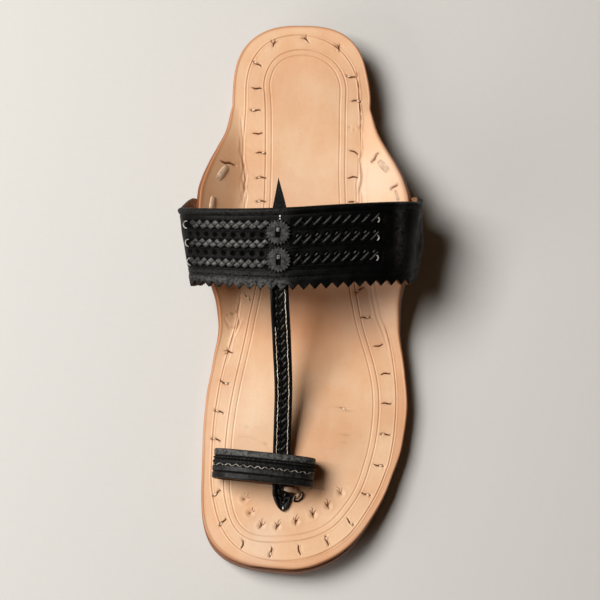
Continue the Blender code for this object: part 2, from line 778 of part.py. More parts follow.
def main():
    clear_scene()
    collection = new_collection("toe_loop_sandal")
    cutters = new_collection("cutters")
    origin = bpy.data.objects.new("sandal_origin", None)
    collection.objects.link(origin)
    origin.location.x = -BAND_MIDDLE
    make_top_sole(collection, origin)
    make_outsole(collection, origin)
    make_heel_lift(collection, origin)
    make_instep_band(collection, cutters, origin)
    make_centre_strap(collection, cutters, origin)
    make_toe_loop(collection, origin)
    for name, place in zip(("rosette_back", "rosette_front"), rosette_places()):
        make_rosette(name, place, collection, cutters, origin)


main()
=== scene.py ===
"""A left leather toe-loop sandal, dressed for a studio picture.

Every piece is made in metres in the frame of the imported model: heel at +Y, toes at -Y,
big toe at -X. Each piece follows the leather as its maker cut, tooled and plaited it.
"""
import math

import bmesh
import bpy
import numpy as np
from mathutils import Matrix, Vector


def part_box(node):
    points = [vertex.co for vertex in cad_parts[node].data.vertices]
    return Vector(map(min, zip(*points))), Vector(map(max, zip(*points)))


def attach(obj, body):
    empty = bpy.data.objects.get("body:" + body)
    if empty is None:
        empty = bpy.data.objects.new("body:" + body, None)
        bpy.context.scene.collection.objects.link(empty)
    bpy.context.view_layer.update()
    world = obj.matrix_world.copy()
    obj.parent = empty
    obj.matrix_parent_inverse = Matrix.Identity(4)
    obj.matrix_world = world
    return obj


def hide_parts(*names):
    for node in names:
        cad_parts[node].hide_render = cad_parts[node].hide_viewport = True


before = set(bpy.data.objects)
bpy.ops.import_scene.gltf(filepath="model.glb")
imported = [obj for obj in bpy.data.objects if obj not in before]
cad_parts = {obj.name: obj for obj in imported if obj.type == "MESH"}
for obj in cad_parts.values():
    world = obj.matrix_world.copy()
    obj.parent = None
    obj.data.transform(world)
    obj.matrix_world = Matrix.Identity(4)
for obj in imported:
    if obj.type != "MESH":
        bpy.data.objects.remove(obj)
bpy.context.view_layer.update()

bl_info = {
    "name": "Toe-loop sandal",
    "version": (1, 0, 0),
    "blender": (4, 5, 0),
    "location": "View3D > Sidebar > Sandal",
    "description": "Dresses the packed sandal with tooled, plaited and cut leather",
    "category": "Object",
}

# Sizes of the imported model, in metres
SOLE_LENGTH = 0.2776
HEEL_WIDTH = 0.0710
WAIST_WIDTH = 0.0630
BALL_WIDTH = 0.1015
HEEL_SEAT_HEIGHT = 0.0205
TOE_SPRING = 0.0085
TOP_SOLE_THICKNESS = 0.0032
OUTSOLE_THICKNESS = 0.0080
SEAM_GAP = 0.0003
HEEL_CAP_LENGTH = 0.0410
TOE_CAP_LENGTH = 0.0450
HEEL_CAP_POWER = 2.5
TOE_CAP_POWER_BIG_TOE = 2.9
TOE_CAP_POWER_LITTLE_TOE = 2.4
EAR_REACH_BIG_TOE = 0.0198
EAR_REACH_LITTLE_TOE = 0.0214
EAR_RISE = 0.0190
EAR_BEND_SOFTNESS = 0.25
FOLD_SHARE = 0.90
BAND_WIDTH = 0.0384
BAND_PLACE = 0.1245
BAND_SPAN = 0.1168
BAND_INNER_HEIGHT = 0.0680
BAND_WALL = 0.0024
BAND_GAP = 0.0005
TOOTH_PITCH = 0.0052
TOOTH_DEPTH = 0.0029
BAND_TUCK = 0.24
STRAP_WIDTH = 0.0094
STRAP_WALL = 0.0018
STRAP_GAP = 0.0006
TAIL_LENGTH = 0.0144
TAIL_LIFT = 0.8
STRAP_OVERRUN = 0.0024
STRAP_STEP_LENGTH = 0.0035
STRAP_END_LENGTH = 0.0136
STRAP_ROUNDING = 0.0095
LOOP_LENGTH = 0.0508
LOOP_HEIGHT = 0.0245
LOOP_WIDTH = 0.0148
LOOP_WALL = 0.0026
LOOP_TURN = math.radians(-4.2)
LOOP_PLACE = 0.2292
LOOP_SIDE = -0.0111
BAND_MIDDLE = 0.0032
BIG_TOE, LITTLE_TOE = -1, 1
# Columns of a sole: down each side, round the toe and round the heel
SEAT_COLUMNS, OUTSOLE_COLUMNS = (265, 185, 120), (90, 70, 50)
# Rows of the seat up to its outer, inner and second line, then to its core and to its middle
SEAT_ROWS = (27, 25, 2, 18, 9)
# Rows laid beside a tooled line, in metres from it
BESIDE_LINE = (0.00062, 0.0003, 0.00013, 0.0, -0.00013, -0.0003, -0.00062)
SECOND_LINE_INSET, CORE_INSET, LEAST_BORDER = 0.0030, 0.0095, 0.004
# How a slit wavers: metres to each side, waves along a metre
WAVER, WAVES = 0.00024, 1300
# Which end of a stitch is pulled open into an eye
EYES = {"eye_out": 1, "eye_in": -1}
SMALL_STITCHES = ("fork", "bead")
# Rosette: teeth, columns of a tooth, share of the radius where the teeth begin, their depth
ROSETTE_TEETH, TOOTH_COLUMNS, TEETH_FROM, TEETH_DEPTH = 22, 8, 0.76, 0.0010
# Half width and half length of its slot, and how far its foot lies under its middle
ROSETTE_SLOT, ROSETTE_FOOT = (0.0011, 0.0025), 0.0006
# Camera and main lights, in metres, degrees and millimetres
CAMERA_TARGET, CAMERA_DISTANCE = (0.001138, -0.002726, 0.015), 0.95
CAMERA_TILT, CAMERA_ROLL, LENS_MM = 8, 1.7477, 111.70
KEY_PLACE, KEY_SIZE = (-0.76, 0.27, 1.27), (0.74, 0.74)
SIDE_PLACE, SIDE_SIZE = (-1.05, -0.62, 0.62), (0.9, 0.5)

# Outline of the outsole: share of the length, the named width, half widths as its shares
OUTLINE = [
    (0.00, HEEL_WIDTH, 0.465, 0.487), (0.08, HEEL_WIDTH, 0.470, 0.504),
    (0.145, HEEL_WIDTH, 0.473, 0.530), (0.20, WAIST_WIDTH, 0.497, 0.586),
    (0.25, WAIST_WIDTH, 0.457, 0.565), (0.30, WAIST_WIDTH, 0.438, 0.562),
    (0.37, WAIST_WIDTH, 0.438, 0.584), (0.44, WAIST_WIDTH, 0.438, 0.625),
    (0.51, WAIST_WIDTH, 0.454, 0.689), (0.565, BALL_WIDTH, 0.315, 0.489),
    (0.62, BALL_WIDTH, 0.370, 0.552), (0.66, BALL_WIDTH, 0.398, 0.579),
    (0.70, BALL_WIDTH, 0.413, 0.587), (0.77, BALL_WIDTH, 0.422, 0.566),
    (0.84, BALL_WIDTH, 0.420, 0.500), (0.90, BALL_WIDTH, 0.418, 0.434),
    (0.95, BALL_WIDTH, 0.414, 0.378), (1.00, BALL_WIDTH, 0.405, 0.270),
]
# Side profile: share of the length, of the heel's height and of the toe spring
PROFILE = [
    (0.00, 1.00, 0.00), (0.25, 1.00, 0.00), (0.32, 0.86, 0.00), (0.41, 0.57, 0.00),
    (0.50, 0.28, 0.00), (0.58, 0.07, 0.00), (0.64, 0.00, 0.00), (0.76, 0.00, 0.00),
    (0.82, 0.00, 0.09), (0.88, 0.00, 0.29), (0.94, 0.00, 0.61), (1.00, 0.00, 1.00),
]
# Ears: share of the length, of the reach and of the rise
EARS = [
    (0.155, 0.00, 0.00), (0.20, 0.20, 0.12), (0.24, 0.50, 0.37), (0.27, 0.72, 0.57),
    (0.30, 0.89, 0.76), (0.33, 0.98, 0.91), (0.37, 1.00, 1.00), (0.41, 0.97, 0.98),
    (0.45, 0.83, 0.84), (0.48, 0.66, 0.66), (0.51, 0.48, 0.47), (0.54, 0.32, 0.27),
    (0.57, 0.18, 0.12), (0.60, 0.09, 0.04), (0.65, 0.00, 0.00),
]
# Edges of the band towards the heel, as shares of its width: back, front
BAND_EDGES = {
    (BIG_TOE, "top"): (0.52, -0.47), (BIG_TOE, "bulge"): (0.58, -0.38),
    (BIG_TOE, "ear"): (0.76, -0.30), (LITTLE_TOE, "top"): (0.52, -0.47),
    (LITTLE_TOE, "bulge"): (0.74, -0.28), (LITTLE_TOE, "ear"): (0.86, -0.18),
}
# Section of the band at its back and front edge: top, bulge, reach on each side
BAND_BACK = (1.000, 0.66, 0.500, 0.494)
BAND_FRONT = (0.875, 0.60, 0.440, 0.466)
TOP_ROUNDNESS = 0.57
BULGE_HANDLE = 0.30
# Drop of the centre strap between band and loop
STRAP_FALL = [
    (0.00, 1.00), (0.08, 0.955), (0.17, 0.83), (0.30, 0.61), (0.45, 0.385),
    (0.60, 0.255), (0.75, 0.155), (0.88, 0.07), (1.00, 0.00),
]
# Centre strap: share of the sole's length, place across the ball, share of the width
STRAP_LINES = [
    (0.325, -0.078, 0.06), (0.372, -0.069, 0.70), (0.43, -0.064, 0.88),
    (0.51, -0.059, 0.96), (0.60, -0.040, 0.99), (0.70, -0.0245, 0.95),
    (0.79, -0.0245, 0.96), (0.85, -0.018, 1.06), (0.90, -0.010, 1.06),
]

# Tooled lines of the seat, as points in millimetres from the heel-to-toe line
OUTER_LINE_MM = [
    (0.5, 134.9), (-9.5, 133.6), (-18.5, 128.6), (-23.9, 120.3), (-26.1, 110.0),
    (-26.2, 94.3), (-27.2, 78.6), (-26.4, 65.7), (-25.4, 55.0), (-25.4, 40.0),
    (-25.4, 20.0), (-26.2, -5.1), (-28.3, -18.9), (-31.2, -28.7), (-34.6, -43.7),
    (-37.0, -61.6), (-37.8, -75.8), (-37.4, -92.0), (-35.2, -107.0), (-31.0, -119.5),
    (-24.0, -128.5), (-13.0, -133.4), (0.0, -134.6), (13.0, -132.6), (25.5, -126.6),
    (36.0, -117.0), (44.5, -104.5), (50.8, -90.0), (54.0, -74.0), (55.0, -58.8),
    (54.8, -47.1), (53.2, -33.9), (50.2, -20.2), (46.2, -9.7), (42.6, 5.6),
    (36.2, 25.0), (34.6, 45.6), (33.7, 59.8), (33.4, 70.2), (33.2, 80.6),
    (32.6, 94.1), (31.4, 106.7), (28.6, 117.5), (22.5, 126.5), (12.5, 132.8),
]
INNER_LINE_MM = [
    (1.5, 127.1), (-7.4, 125.3), (-13.2, 121.0), (-16.3, 114.2), (-16.5, 99.8),
    (-15.8, 84.0), (-15.3, 65.0), (-15.3, 47.4), (-16.2, 25.0), (-18.3, 2.0),
    (-20.5, -8.5), (-23.0, -24.0), (-27.2, -44.5), (-29.6, -59.8), (-31.0, -75.1),
    (-30.9, -94.0), (-28.6, -109.5), (-25.0, -119.4), (-17.8, -124.6), (-6.9, -125.5),
    (3.0, -124.8), (13.0, -123.0), (23.4, -118.2), (32.0, -108.0), (39.8, -93.2),
    (45.0, -75.3), (46.6, -57.5), (45.8, -44.8), (41.8, -29.7), (38.0, -19.6),
    (35.2, -9.4), (33.1, 0.9), (29.6, 20.0), (26.6, 42.7), (25.4, 60.1),
    (25.2, 80.1), (24.8, 101.1), (23.8, 112.7), (19.4, 120.4), (10.7, 126.0),
]
# Stitches through the seat: place in mm, turn from the ray outward, kind
STITCHES = [
    (-21.4, 119.0, 2, "eye_out"), (-21.2, 106.0, 2, "slit"), (-21.4, 94.4, 0, "eye_out"),
    (-19.9, 82.2, 6, "slit"), (-17.9, 72.1, 0, "eye_in"), (-17.3, 59.2, 2, "eye_out"),
    (-17.0, 47.1, 0, "eye_out"), (-22.2, -2.0, -48, "bead"), (-30.9, -30.0, -12, "fork"),
    (-32.9, -45.9, -20, "eye_in"), (-34.9, -60.7, -18, "eye_out"),
    (-35.9, -74.9, -14, "eye_out"), (-34.4, -102.0, 22, "eye_out"),
    (-30.9, -116.4, 10, "eye_out"), (-20.5, -127.0, 20, "slit"), (-6.3, -130.5, 0, "eye_out"),
    (7.7, -129.1, -4, "slit"), (21.5, -124.2, 16, "eye_in"), (32.8, -114.4, 8, "eye_out"),
    (40.5, -100.2, 4, "eye_out"), (46.7, -85.5, 10, "eye_out"), (49.8, -69.7, 2, "eye_in"),
    (50.0, -54.0, -2, "slit"), (49.1, -38.8, -8, "slit"), (45.2, -24.6, -16, "slit"),
    (38.2, -10.4, -6, "eye_out"), (34.8, 3.6, -30, "eye_in"), (30.0, 48.0, 8, "eye_out"),
    (29.4, 60.8, -6, "slit"), (29.8, 74.0, 24, "slit"), (30.2, 100.9, 2, "eye_out"),
    (27.3, 113.6, 26, "eye_in"), (20.2, 128.8, -58, "fork"), (3.4, 132.8, -40, "fork"),
    (-13.1, 129.9, -34, "fork"), (28.4, -57.4, 30, "bead"),
]
DIMPLES = [
    (-20.7, -104.6), (-17.5, -111.5), (-11.8, -117.8), (-3.7, -118.0), (5.7, -115.3),
    (14.2, -111.5), (21.6, -106.8), (27.9, -100.1),
]
# Soft creases of the seat: depth and half width in mm, then the points along each
CREASES = [
    (0.34, 0.55, [(-28.8, 80.0), (-28.4, 72.0), (-26.6, 65.0), (-27.4, 58.5), (-25.6, 53.0),
                  (-27.0, 46.0)]),
    (0.24, 0.40, [(-26.2, 66.0), (-24.8, 60.0), (-26.0, 55.0), (-24.4, 50.0), (-25.2, 43.0)]),
    (0.26, 0.45, [(-25.5, -2.0), (-27.0, -10.0), (-26.4, -16.0), (-29.4, -23.0), (-30.6, -30.0),
                  (-32.4, -37.0)]),
    (0.30, 0.60, [(-33.6, -14.0), (-31.0, -18.0), (-27.4, -17.4), (-25.4, -12.6)]),
    (0.26, 0.45, [(33.6, 84.0), (34.4, 76.0), (32.8, 70.0), (34.2, 62.0), (33.2, 55.0),
                  (35.0, 47.0)]),
    (0.20, 0.35, [(37.2, 66.0), (35.8, 60.0), (36.6, 53.0), (37.4, 46.0)]),
    (0.22, 0.35, [(41.4, 9.0), (43.3, 0.0), (45.4, -9.0), (48.8, -17.0), (51.5, -25.0)]),
    (0.26, 0.45, [(39.8, 8.0), (41.2, -1.0), (43.6, -10.0), (47.0, -18.0), (49.9, -26.0)]),
    (0.45, 0.34, [(26.4, 87.0), (29.6, 86.0), (32.4, 86.6), (33.4, 89.0)]),
    (0.60, 0.30, [(30.2, 116.6), (30.4, 115.0), (30.6, 113.2)]),
    (0.60, 0.30, [(31.0, 111.0), (31.0, 109.4), (31.3, 107.4)]),
    (0.60, 0.30, [(31.5, 105.4), (31.5, 103.4), (31.9, 101.2)]),
    (0.60, 0.30, [(32.1, 99.6), (32.2, 97.4), (32.7, 95.2)]),
    (0.55, 0.30, [(33.0, 93.8), (33.1, 92.2), (33.4, 90.6)]),
    (0.30, 0.42, [(-28.8, 90.0), (-27.4, 78.5), (-27.1, 68.0), (-25.2, 57.8), (-26.0, 52.6),
                  (-27.3, 44.8)]),
    (0.20, 0.36, [(-29.6, 74.0), (-28.5, 65.2), (-28.6, 58.0), (-27.4, 50.0), (-28.6, 44.0)]),
    (0.22, 0.36, [(31.8, 72.0), (32.4, 64.0), (31.4, 57.0), (31.9, 50.0), (31.0, 44.0)]),
    (0.40, 0.38, [(-33.4, -12.4), (-31.6, -11.2), (-29.4, -10.6), (-27.4, -9.4), (-26.6, -5.0)]),
    (0.30, 0.38, [(33.6, 64.7), (34.3, 59.0), (33.0, 54.0), (33.6, 46.0)]),
    (0.16, 0.40, [(-24.2, -67.2), (-18.0, -68.8), (-12.9, -68.4)]),
    (0.14, 0.40, [(-25.0, -73.3), (-19.0, -73.0), (-12.7, -75.5)]),
    (0.26, 0.50, [(28.0, -72.4), (30.6, -69.8), (33.4, -67.6)]),
    (0.20, 0.40, [(27.2, -75.6), (29.6, -74.0), (31.4, -73.6)]),
    (0.36, 0.34, [(-11.6, -74.8), (-10.4, -78.0), (-9.6, -81.0), (-6.6, -81.4)]),
]
# Slits in the ears that the thongs come through: place in mm, angle, length
EAR_SLITS = [
    (-34.0, 65.2, -3, 7.0), (40.2, 70.6, 55, 6.2), (49.9, 54.3, 37, 4.6),
]
# Thongs that lie on the ears: where they start and end in mm, width and height
EAR_THONGS = [
    (-34.8, 63.4, -39.2, 55.8, 3.5, 0.7), (-41.0, 46.5, -41.8, 39.0, 2.7, 0.8),
    (42.4, 68.8, 47.1, 62.6, 3.6, 0.55), (50.8, 52.6, 52.9, 45.2, 1.5, 0.5),
    (47.0, 6.4, 53.6, 8.4, 2.4, 0.6), (-9.6, -80.6, -6.2, -81.8, 1.1, 0.7),
]
# Patches of deeper, oranger tan, partly painted warm shade under the band: place and radius in mm,
# share
WARM = [
    (8, -14, 22, 0.62), (34, -12, 18, 0.38), (-22, -14, 14, 0.40), (-30, -42, 14, 0.12),
    (14, -74, 15, 0.18), (22, -46, 16, 0.12), (52, -60, 10, 0.25), (-30, 60, 9, 0.25),
    (0, 108, 26, 0.20), (28, 112, 14, 0.30), (-26, 112, 14, 0.22), (46, -100, 12, 0.18),
    (-34, 72, 9, 0.15), (10, -98, 10, 0.16),
]
# Patches of painted shade and painted highlight, partly darker and paler tone: place and radius in
# mm, share darker, share paler
PATCHES = [
    (-12, -128, 10, 0, 0.35), (-10, -117, 8, 0, 0.15), (-36, -40, 14, 0.04, 0),
    (-6, 106, 30, 0.09, 0), (30, 102, 15, 0.08, 0), (40, -8, 14, 0, 0.25),
    (0, 62, 28, 0.03, 0), (2, -108, 17, 0.09, 0),
    (-19, 104, 9, 0.04, 0), (14, -58, 13, 0.05, 0), (43, 58, 13, 0, 0.55), (-17, -66, 22, 0, 0.22),
    (0, 46, 18, 0, 0.15), (-33, -92, 12, 0.05, 0), (-24, -118, 12, 0.05, 0), (40, 4, 9, 0.03, 0.1),
]


def linear(colour):
    """An sRGB hex colour such as '#C89A6B' as linear red, green and blue."""
    parts = [int(colour[k:k + 2], 16) / 255 for k in (1, 3, 5)]
    return tuple(v / 12.92 if v <= 0.04045 else ((v + 0.055) / 1.055) ** 2.4 for v in parts)


def mix(low, high, share):
    return low + (high - low) * share


def curve(rows, column):
    """A smooth reading of a table's column that never overshoots its values."""
    places = np.array([row[0] for row in rows])
    values = np.array([column(row) for row in rows])
    slopes = np.diff(values) / np.diff(places)
    before, after = slopes[:-1], slopes[1:]
    turning = before * after <= 0
    inner = np.where(turning, 0, 2 * before * after / np.where(turning, 1, before + after))
    tangents = np.concatenate((slopes[:1], inner, slopes[-1:]))

    def read(at):
        at = np.clip(at, places[0], places[-1])
        row = np.clip(np.searchsorted(places, at, side="right") - 1, 0, len(slopes) - 1)
        step = places[row + 1] - places[row]
        t = (at - places[row]) / step
        start, end = tangents[row] * step, tangents[row + 1] * step
        return (values[row] * (1 + 2 * t) * (1 - t) ** 2 + start * t * (1 - t) ** 2
                + values[row + 1] * t * t * (3 - 2 * t) - end * t * t * (1 - t))

    return read


width_big_toe = curve(OUTLINE, lambda row: row[1] * row[2])
width_little_toe = curve(OUTLINE, lambda row: row[1] * row[3])
heel_share = curve(PROFILE, lambda row: row[1])
toe_share = curve(PROFILE, lambda row: row[2])
reach_share = curve(EARS, lambda row: row[1])
rise_share = curve(EARS, lambda row: row[2])
strap_fall = curve(STRAP_FALL, lambda row: row[1])
strap_place = curve(STRAP_LINES, lambda row: row[1])
strap_width = curve(STRAP_LINES, lambda row: row[2])
BALL_HEIGHT = TOP_SOLE_THICKNESS + SEAM_GAP + OUTSOLE_THICKNESS


def seat_height(along):
    return (BALL_HEIGHT + (HEEL_SEAT_HEIGHT - BALL_HEIGHT) * heel_share(along)
            + TOE_SPRING * toe_share(along))


def seat_slope(along):
    step = 0.002
    low, high = np.maximum(along - step, 0.0), np.minimum(along + step, 1.0)
    return (seat_height(low) - seat_height(high)) / ((high - low) * SOLE_LENGTH)


TOE_OVERHANG = BALL_HEIGHT * math.sin(math.atan(-seat_slope(1.0)))
HEEL_Y = (SOLE_LENGTH + TOE_OVERHANG) / 2


def along_at(y):
    return (HEEL_Y - y) / SOLE_LENGTH


def y_at(along):
    return HEEL_Y - along * SOLE_LENGTH


def cap(distance, length, power):
    left = np.clip(1 - distance / length, 0, 1)
    return (1 - left ** power) ** (1 / power)


def half_width(side, along):
    """Half width of the outsole on one side."""
    along = np.clip(along, 0, 1)
    width = np.where(side < 0, width_big_toe(along), width_little_toe(along))
    power = np.where(side < 0, TOE_CAP_POWER_BIG_TOE, TOE_CAP_POWER_LITTLE_TOE)
    heel = cap(along * SOLE_LENGTH, HEEL_CAP_LENGTH, HEEL_CAP_POWER)
    return width * heel * cap((1 - along) * SOLE_LENGTH, TOE_CAP_LENGTH, power)


def ear_reach(side, along):
    return np.where(side < 0, EAR_REACH_BIG_TOE, EAR_REACH_LITTLE_TOE) * reach_share(along)


def bend(ear):
    soft = EAR_BEND_SOFTNESS
    return (np.hypot(ear, soft) - soft) / (math.hypot(1, soft) - soft)


def sole_height(x, y):
    """Top face of the seat and its ears over a place in plan."""
    along, side = along_at(y), np.where(x < 0, -1, 1)
    width = half_width(side, along)
    fold = FOLD_SHARE * width
    span = np.maximum(width - fold + ear_reach(side, along), 1e-4)
    ear = np.maximum((np.abs(x) - fold) / span, 0)
    return seat_height(along) + EAR_RISE * rise_share(along) * bend(ear)


def sole_frame(x, y):
    """Points of the top face over places in plan, and its upward normals."""
    step = 0.0004
    slope_x = (sole_height(x + step, y) - sole_height(x - step, y)) / (2 * step)
    slope_y = (sole_height(x, y + step) - sole_height(x, y - step)) / (2 * step)
    normal = np.stack((-slope_x, -slope_y, np.ones_like(slope_x)), -1)
    normal /= np.linalg.norm(normal, axis=-1, keepdims=True)
    return np.stack((x, y, sole_height(x, y)), -1), normal


def seat_point(side, along, ear):
    """A point of an ear, from the fold (0) to the rim (1)."""
    width = float(half_width(side, along))
    out = FOLD_SHARE * width + (width * (1 - FOLD_SHARE) + float(ear_reach(side, along))) * ear
    rise = EAR_RISE * float(rise_share(along)) * float(bend(ear))
    return Vector((side * out, y_at(along), float(seat_height(along)) + rise))


def ear_outside(side, along, ear, gap):
    """A point a gap outside the ear's outer face."""
    step = 0.002
    across = seat_point(side, along, ear + step) - seat_point(side, along, ear - step)
    toward_heel = seat_point(side, along - step, ear) - seat_point(side, along + step, ear)
    normal = across.cross(toward_heel) * side
    return seat_point(side, along, ear) - normal.normalized() * (TOP_SOLE_THICKNESS + gap)


def band_y(side, level, across):
    back, front = BAND_EDGES[side, level]
    return y_at(BAND_PLACE / SOLE_LENGTH) + BAND_WIDTH * mix(back, front, across)


def bezier(start, start_handle, end_handle, end, steps):
    places = [k / steps for k in range(steps)]
    return [start * (1 - t) ** 3 + start_handle * 3 * t * (1 - t) ** 2
            + end_handle * 3 * t * t * (1 - t) + end * t ** 3 for t in places]


def resample(points, count):
    """Points spaced evenly along a polyline."""
    points = np.array([tuple(p) for p in points])
    lengths = np.concatenate(([0], np.cumsum(np.linalg.norm(np.diff(points, axis=0), axis=1))))
    places = np.linspace(0, lengths[-1], count + 1)
    return np.stack([np.interp(places, lengths, points[:, k]) for k in range(3)], -1)


def band_side(side, across, cells):
    """Inner face of one half of the band, from the top down to the tucked end."""
    column = 2 if side == BIG_TOE else 3
    reach = BAND_SPAN * mix(BAND_BACK[column], BAND_FRONT[column], across)
    top_z = BAND_INNER_HEIGHT * mix(BAND_BACK[0], BAND_FRONT[0], across)
    bulge_z = BAND_INNER_HEIGHT * mix(BAND_BACK[1], BAND_FRONT[1], across)
    y_top, y_bulge, y_ear = (band_y(side, level, across) for level in ("top", "bulge", "ear"))
    slant = mix(y_top, y_bulge, 0.4) if side == LITTLE_TOE else y_top - mix(
        0.0028, 0.0016, across)
    top = Vector((BAND_MIDDLE, y_top, top_z))
    bulge = Vector((BAND_MIDDLE + side * reach, y_bulge, bulge_z))
    wide = Vector((side * reach * TOP_ROUNDNESS, 0, 0))
    tall = Vector((0, 0, (top_z - bulge_z) * TOP_ROUNDNESS))
    top_handle, bulge_handle = top + wide, bulge + tall
    top_handle.y = slant
    bulge_handle.y = mix(y_top, y_bulge, 0.8) - mix(0.0022, 0, across) * (side == BIG_TOE)
    along = along_at(y_ear)
    rim, inside = (ear_outside(side, along, ear, BAND_GAP) for ear in (1.04, 0.9))
    outward = (rim - inside).normalized()
    handle = (bulge - rim).length * BULGE_HANDLE
    line = bezier(top, top_handle, bulge_handle, bulge, 24)
    fall = (y_ear - y_bulge) * np.array((0.3, 0.0) if side == LITTLE_TOE else (0.0, 0.3))
    down, out = Vector((0, fall[0], -handle)), outward * handle - Vector((0, fall[1], 0))
    line += bezier(bulge, bulge + down, rim + out, rim, 8)
    for step in range(9):
        line.append(ear_outside(side, along, mix(1.04, BAND_TUCK, step / 8), BAND_GAP))
    return resample(line, cells)


def band_section(across, cells):
    """Inner face of the band from its big-toe end over the top to the other end."""
    left = band_side(BIG_TOE, across, cells)
    right = band_side(LITTLE_TOE, across, cells)
    return np.concatenate((left[::-1], right[1:]))


def band_top(x, y):
    """Height of the band's inner face over a place near its middle."""
    across = (band_y(BIG_TOE, "top", 0) - y) / BAND_WIDTH
    line = band_side(BIG_TOE if x < BAND_MIDDLE else LITTLE_TOE, across, 60)
    order = np.argsort(line[:, 0])
    return float(np.interp(x, line[order, 0], line[order, 2]))


def band_lean():
    fall = BAND_BACK[0] - BAND_FRONT[0]
    return math.atan(BAND_INNER_HEIGHT * fall / BAND_WIDTH)


def strap_side(y):
    return BALL_WIDTH * float(strap_place(along_at(y)))


LOOP_Y = y_at(LOOP_PLACE / SOLE_LENGTH)
STRAP_END_Y = LOOP_Y - LOOP_WIDTH / 2 - STRAP_END_LENGTH


def strap_half_width(y):
    """Half width of the strap, rounded at its toe end."""
    width = STRAP_WIDTH * float(strap_width(along_at(y))) / 2
    reach = (y - STRAP_END_Y) / STRAP_ROUNDING
    if reach >= 1:
        return width
    return width * max(1 - (1 - reach) ** 1.8, 0.0) ** (1 / 1.6)


def strap_bottom(y):
    """Height of the strap's under face along its run."""
    back, front = band_y(BIG_TOE, "top", 0), band_y(BIG_TOE, "top", 1)
    loop_back, loop_front = LOOP_Y + LOOP_WIDTH / 2, LOOP_Y - LOOP_WIDTH / 2
    over_loop = SEAM_GAP + LOOP_WALL + STRAP_GAP

    def under_band(y):
        side, half = strap_side(y), strap_half_width(y)
        top = min(band_top(side - half, y), band_top(side + half, y))
        return top - STRAP_GAP - STRAP_WALL

    if y > back:
        return under_band(back) + (y - back) * math.tan(band_lean()) * TAIL_LIFT
    if y >= front:
        return under_band(y)
    start = under_band(front)
    if y >= loop_back:
        end = float(seat_height(along_at(loop_back))) + over_loop
        return mix(end, start, float(strap_fall((front - y) / (front - loop_back))))
    clear = loop_front - STRAP_OVERRUN
    if y >= clear:
        return float(seat_height(along_at(y))) + over_loop
    down = min((clear - y) / STRAP_STEP_LENGTH, 1.0)
    ease = down * down * (3 - 2 * down)
    return float(seat_height(along_at(y))) + mix(over_loop, SEAM_GAP, ease)


def deselect():
    for item in bpy.context.selected_objects:
        item.select_set(False)


def sheet(name, points):
    """A grid whose vertex in row r and column c stands at points[r][c], in plan from the middle."""
    deselect()
    rows, columns = points.shape[:2]
    bpy.ops.mesh.primitive_grid_add(x_subdivisions=columns - 1, y_subdivisions=rows - 1, size=2)
    item = bpy.context.object
    item.name = item.data.name = name
    placed = points - np.array((BAND_MIDDLE, 0, 0))
    item.data.vertices.foreach_set("co", placed.astype(np.float32).ravel())
    item.data.update()
    return item


def mark(item, name, values):
    """A number at each vertex that a material reads."""
    layer = item.data.attributes.new(name, "FLOAT", "POINT")
    layer.data.foreach_set("value", np.asarray(values, np.float32).ravel())


def close(item, fill_ends=False):
    """Merges the seam and the poles of a rolled sheet, and fills what is left open."""
    mesh = bmesh.new()
    mesh.from_mesh(item.data)
    bmesh.ops.remove_doubles(mesh, verts=mesh.verts, dist=0.00001)
    bmesh.ops.dissolve_degenerate(mesh, edges=mesh.edges, dist=0.000001)
    if fill_ends:
        open_edges = [edge for edge in mesh.edges if edge.is_boundary]
        bmesh.ops.holes_fill(mesh, edges=open_edges, sides=0)
        bmesh.ops.triangulate(mesh, faces=[f for f in mesh.faces if len(f.verts) > 4])
    mesh.to_mesh(item.data)
    mesh.free()


def recalculate(item):
    """Turns all faces outward."""
    mesh = bmesh.new()
    mesh.from_mesh(item.data)
    bmesh.ops.recalc_face_normals(mesh, faces=mesh.faces)
    mesh.to_mesh(item.data)
    mesh.free()


def finish_piece(item, material, slot, *nodes, sharp=40):
    item.data.shade_smooth()
    item.data.set_sharp_from_angle(angle=math.radians(sharp))
    item.data.materials.clear()
    item.data.materials.append(material)
    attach(item, "root")
    if nodes:
        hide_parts(*nodes)


def connect(tree, node, inputs):
    """Links each socket that is given to an input of the node, and sets any other value there."""
    for key, value in inputs.items():
        socket = node.inputs[key]
        if isinstance(value, bpy.types.NodeSocket):
            tree.links.new(value, socket)
        elif socket.type == "RGBA":
            socket.default_value = (*value, 1)
        else:
            socket.default_value = value


def add_node(tree, kind, inputs, output=0, **settings):
    """Adds a node with its settings and inputs, and returns one of its outputs."""
    node = tree.nodes.new("ShaderNode" + kind)
    for name, value in settings.items():
        setattr(node, name, value)
    connect(tree, node, inputs)
    return node.outputs[output]


def new_material(name):
    material = bpy.data.materials.new(name)
    material.use_nodes = True
    tree = material.node_tree
    return material, tree, tree.nodes["Principled BSDF"], add_node(tree, "TexCoord", {}, "Object")


def patches(tree, place, size_mm, detail, low, high, start=0.0, end=1.0, roughness=0.5):
    """Patches about size_mm across, where the change from low to high becomes start to end."""
    grain = add_node(tree, "TexNoise", {"Vector": place, "Scale": 1000 / size_mm,
                                        "Detail": detail, "Roughness": roughness})
    return add_node(tree, "MapRange", {0: grain, 1: low, 2: high, 3: start, 4: end})


def paint(tree, colour, layers):
    """A colour under layers: where each shows, a socket or a mark's name, and its own colour."""
    for share, cover in layers:
        if isinstance(share, str):
            share = add_node(tree, "Attribute", {}, "Fac", attribute_name=share)
        if isinstance(cover, str):
            cover = linear(cover)
        colour = add_node(tree, "Mix", {0: share, 6: colour, 7: cover}, 2, data_type="RGBA")
    return colour


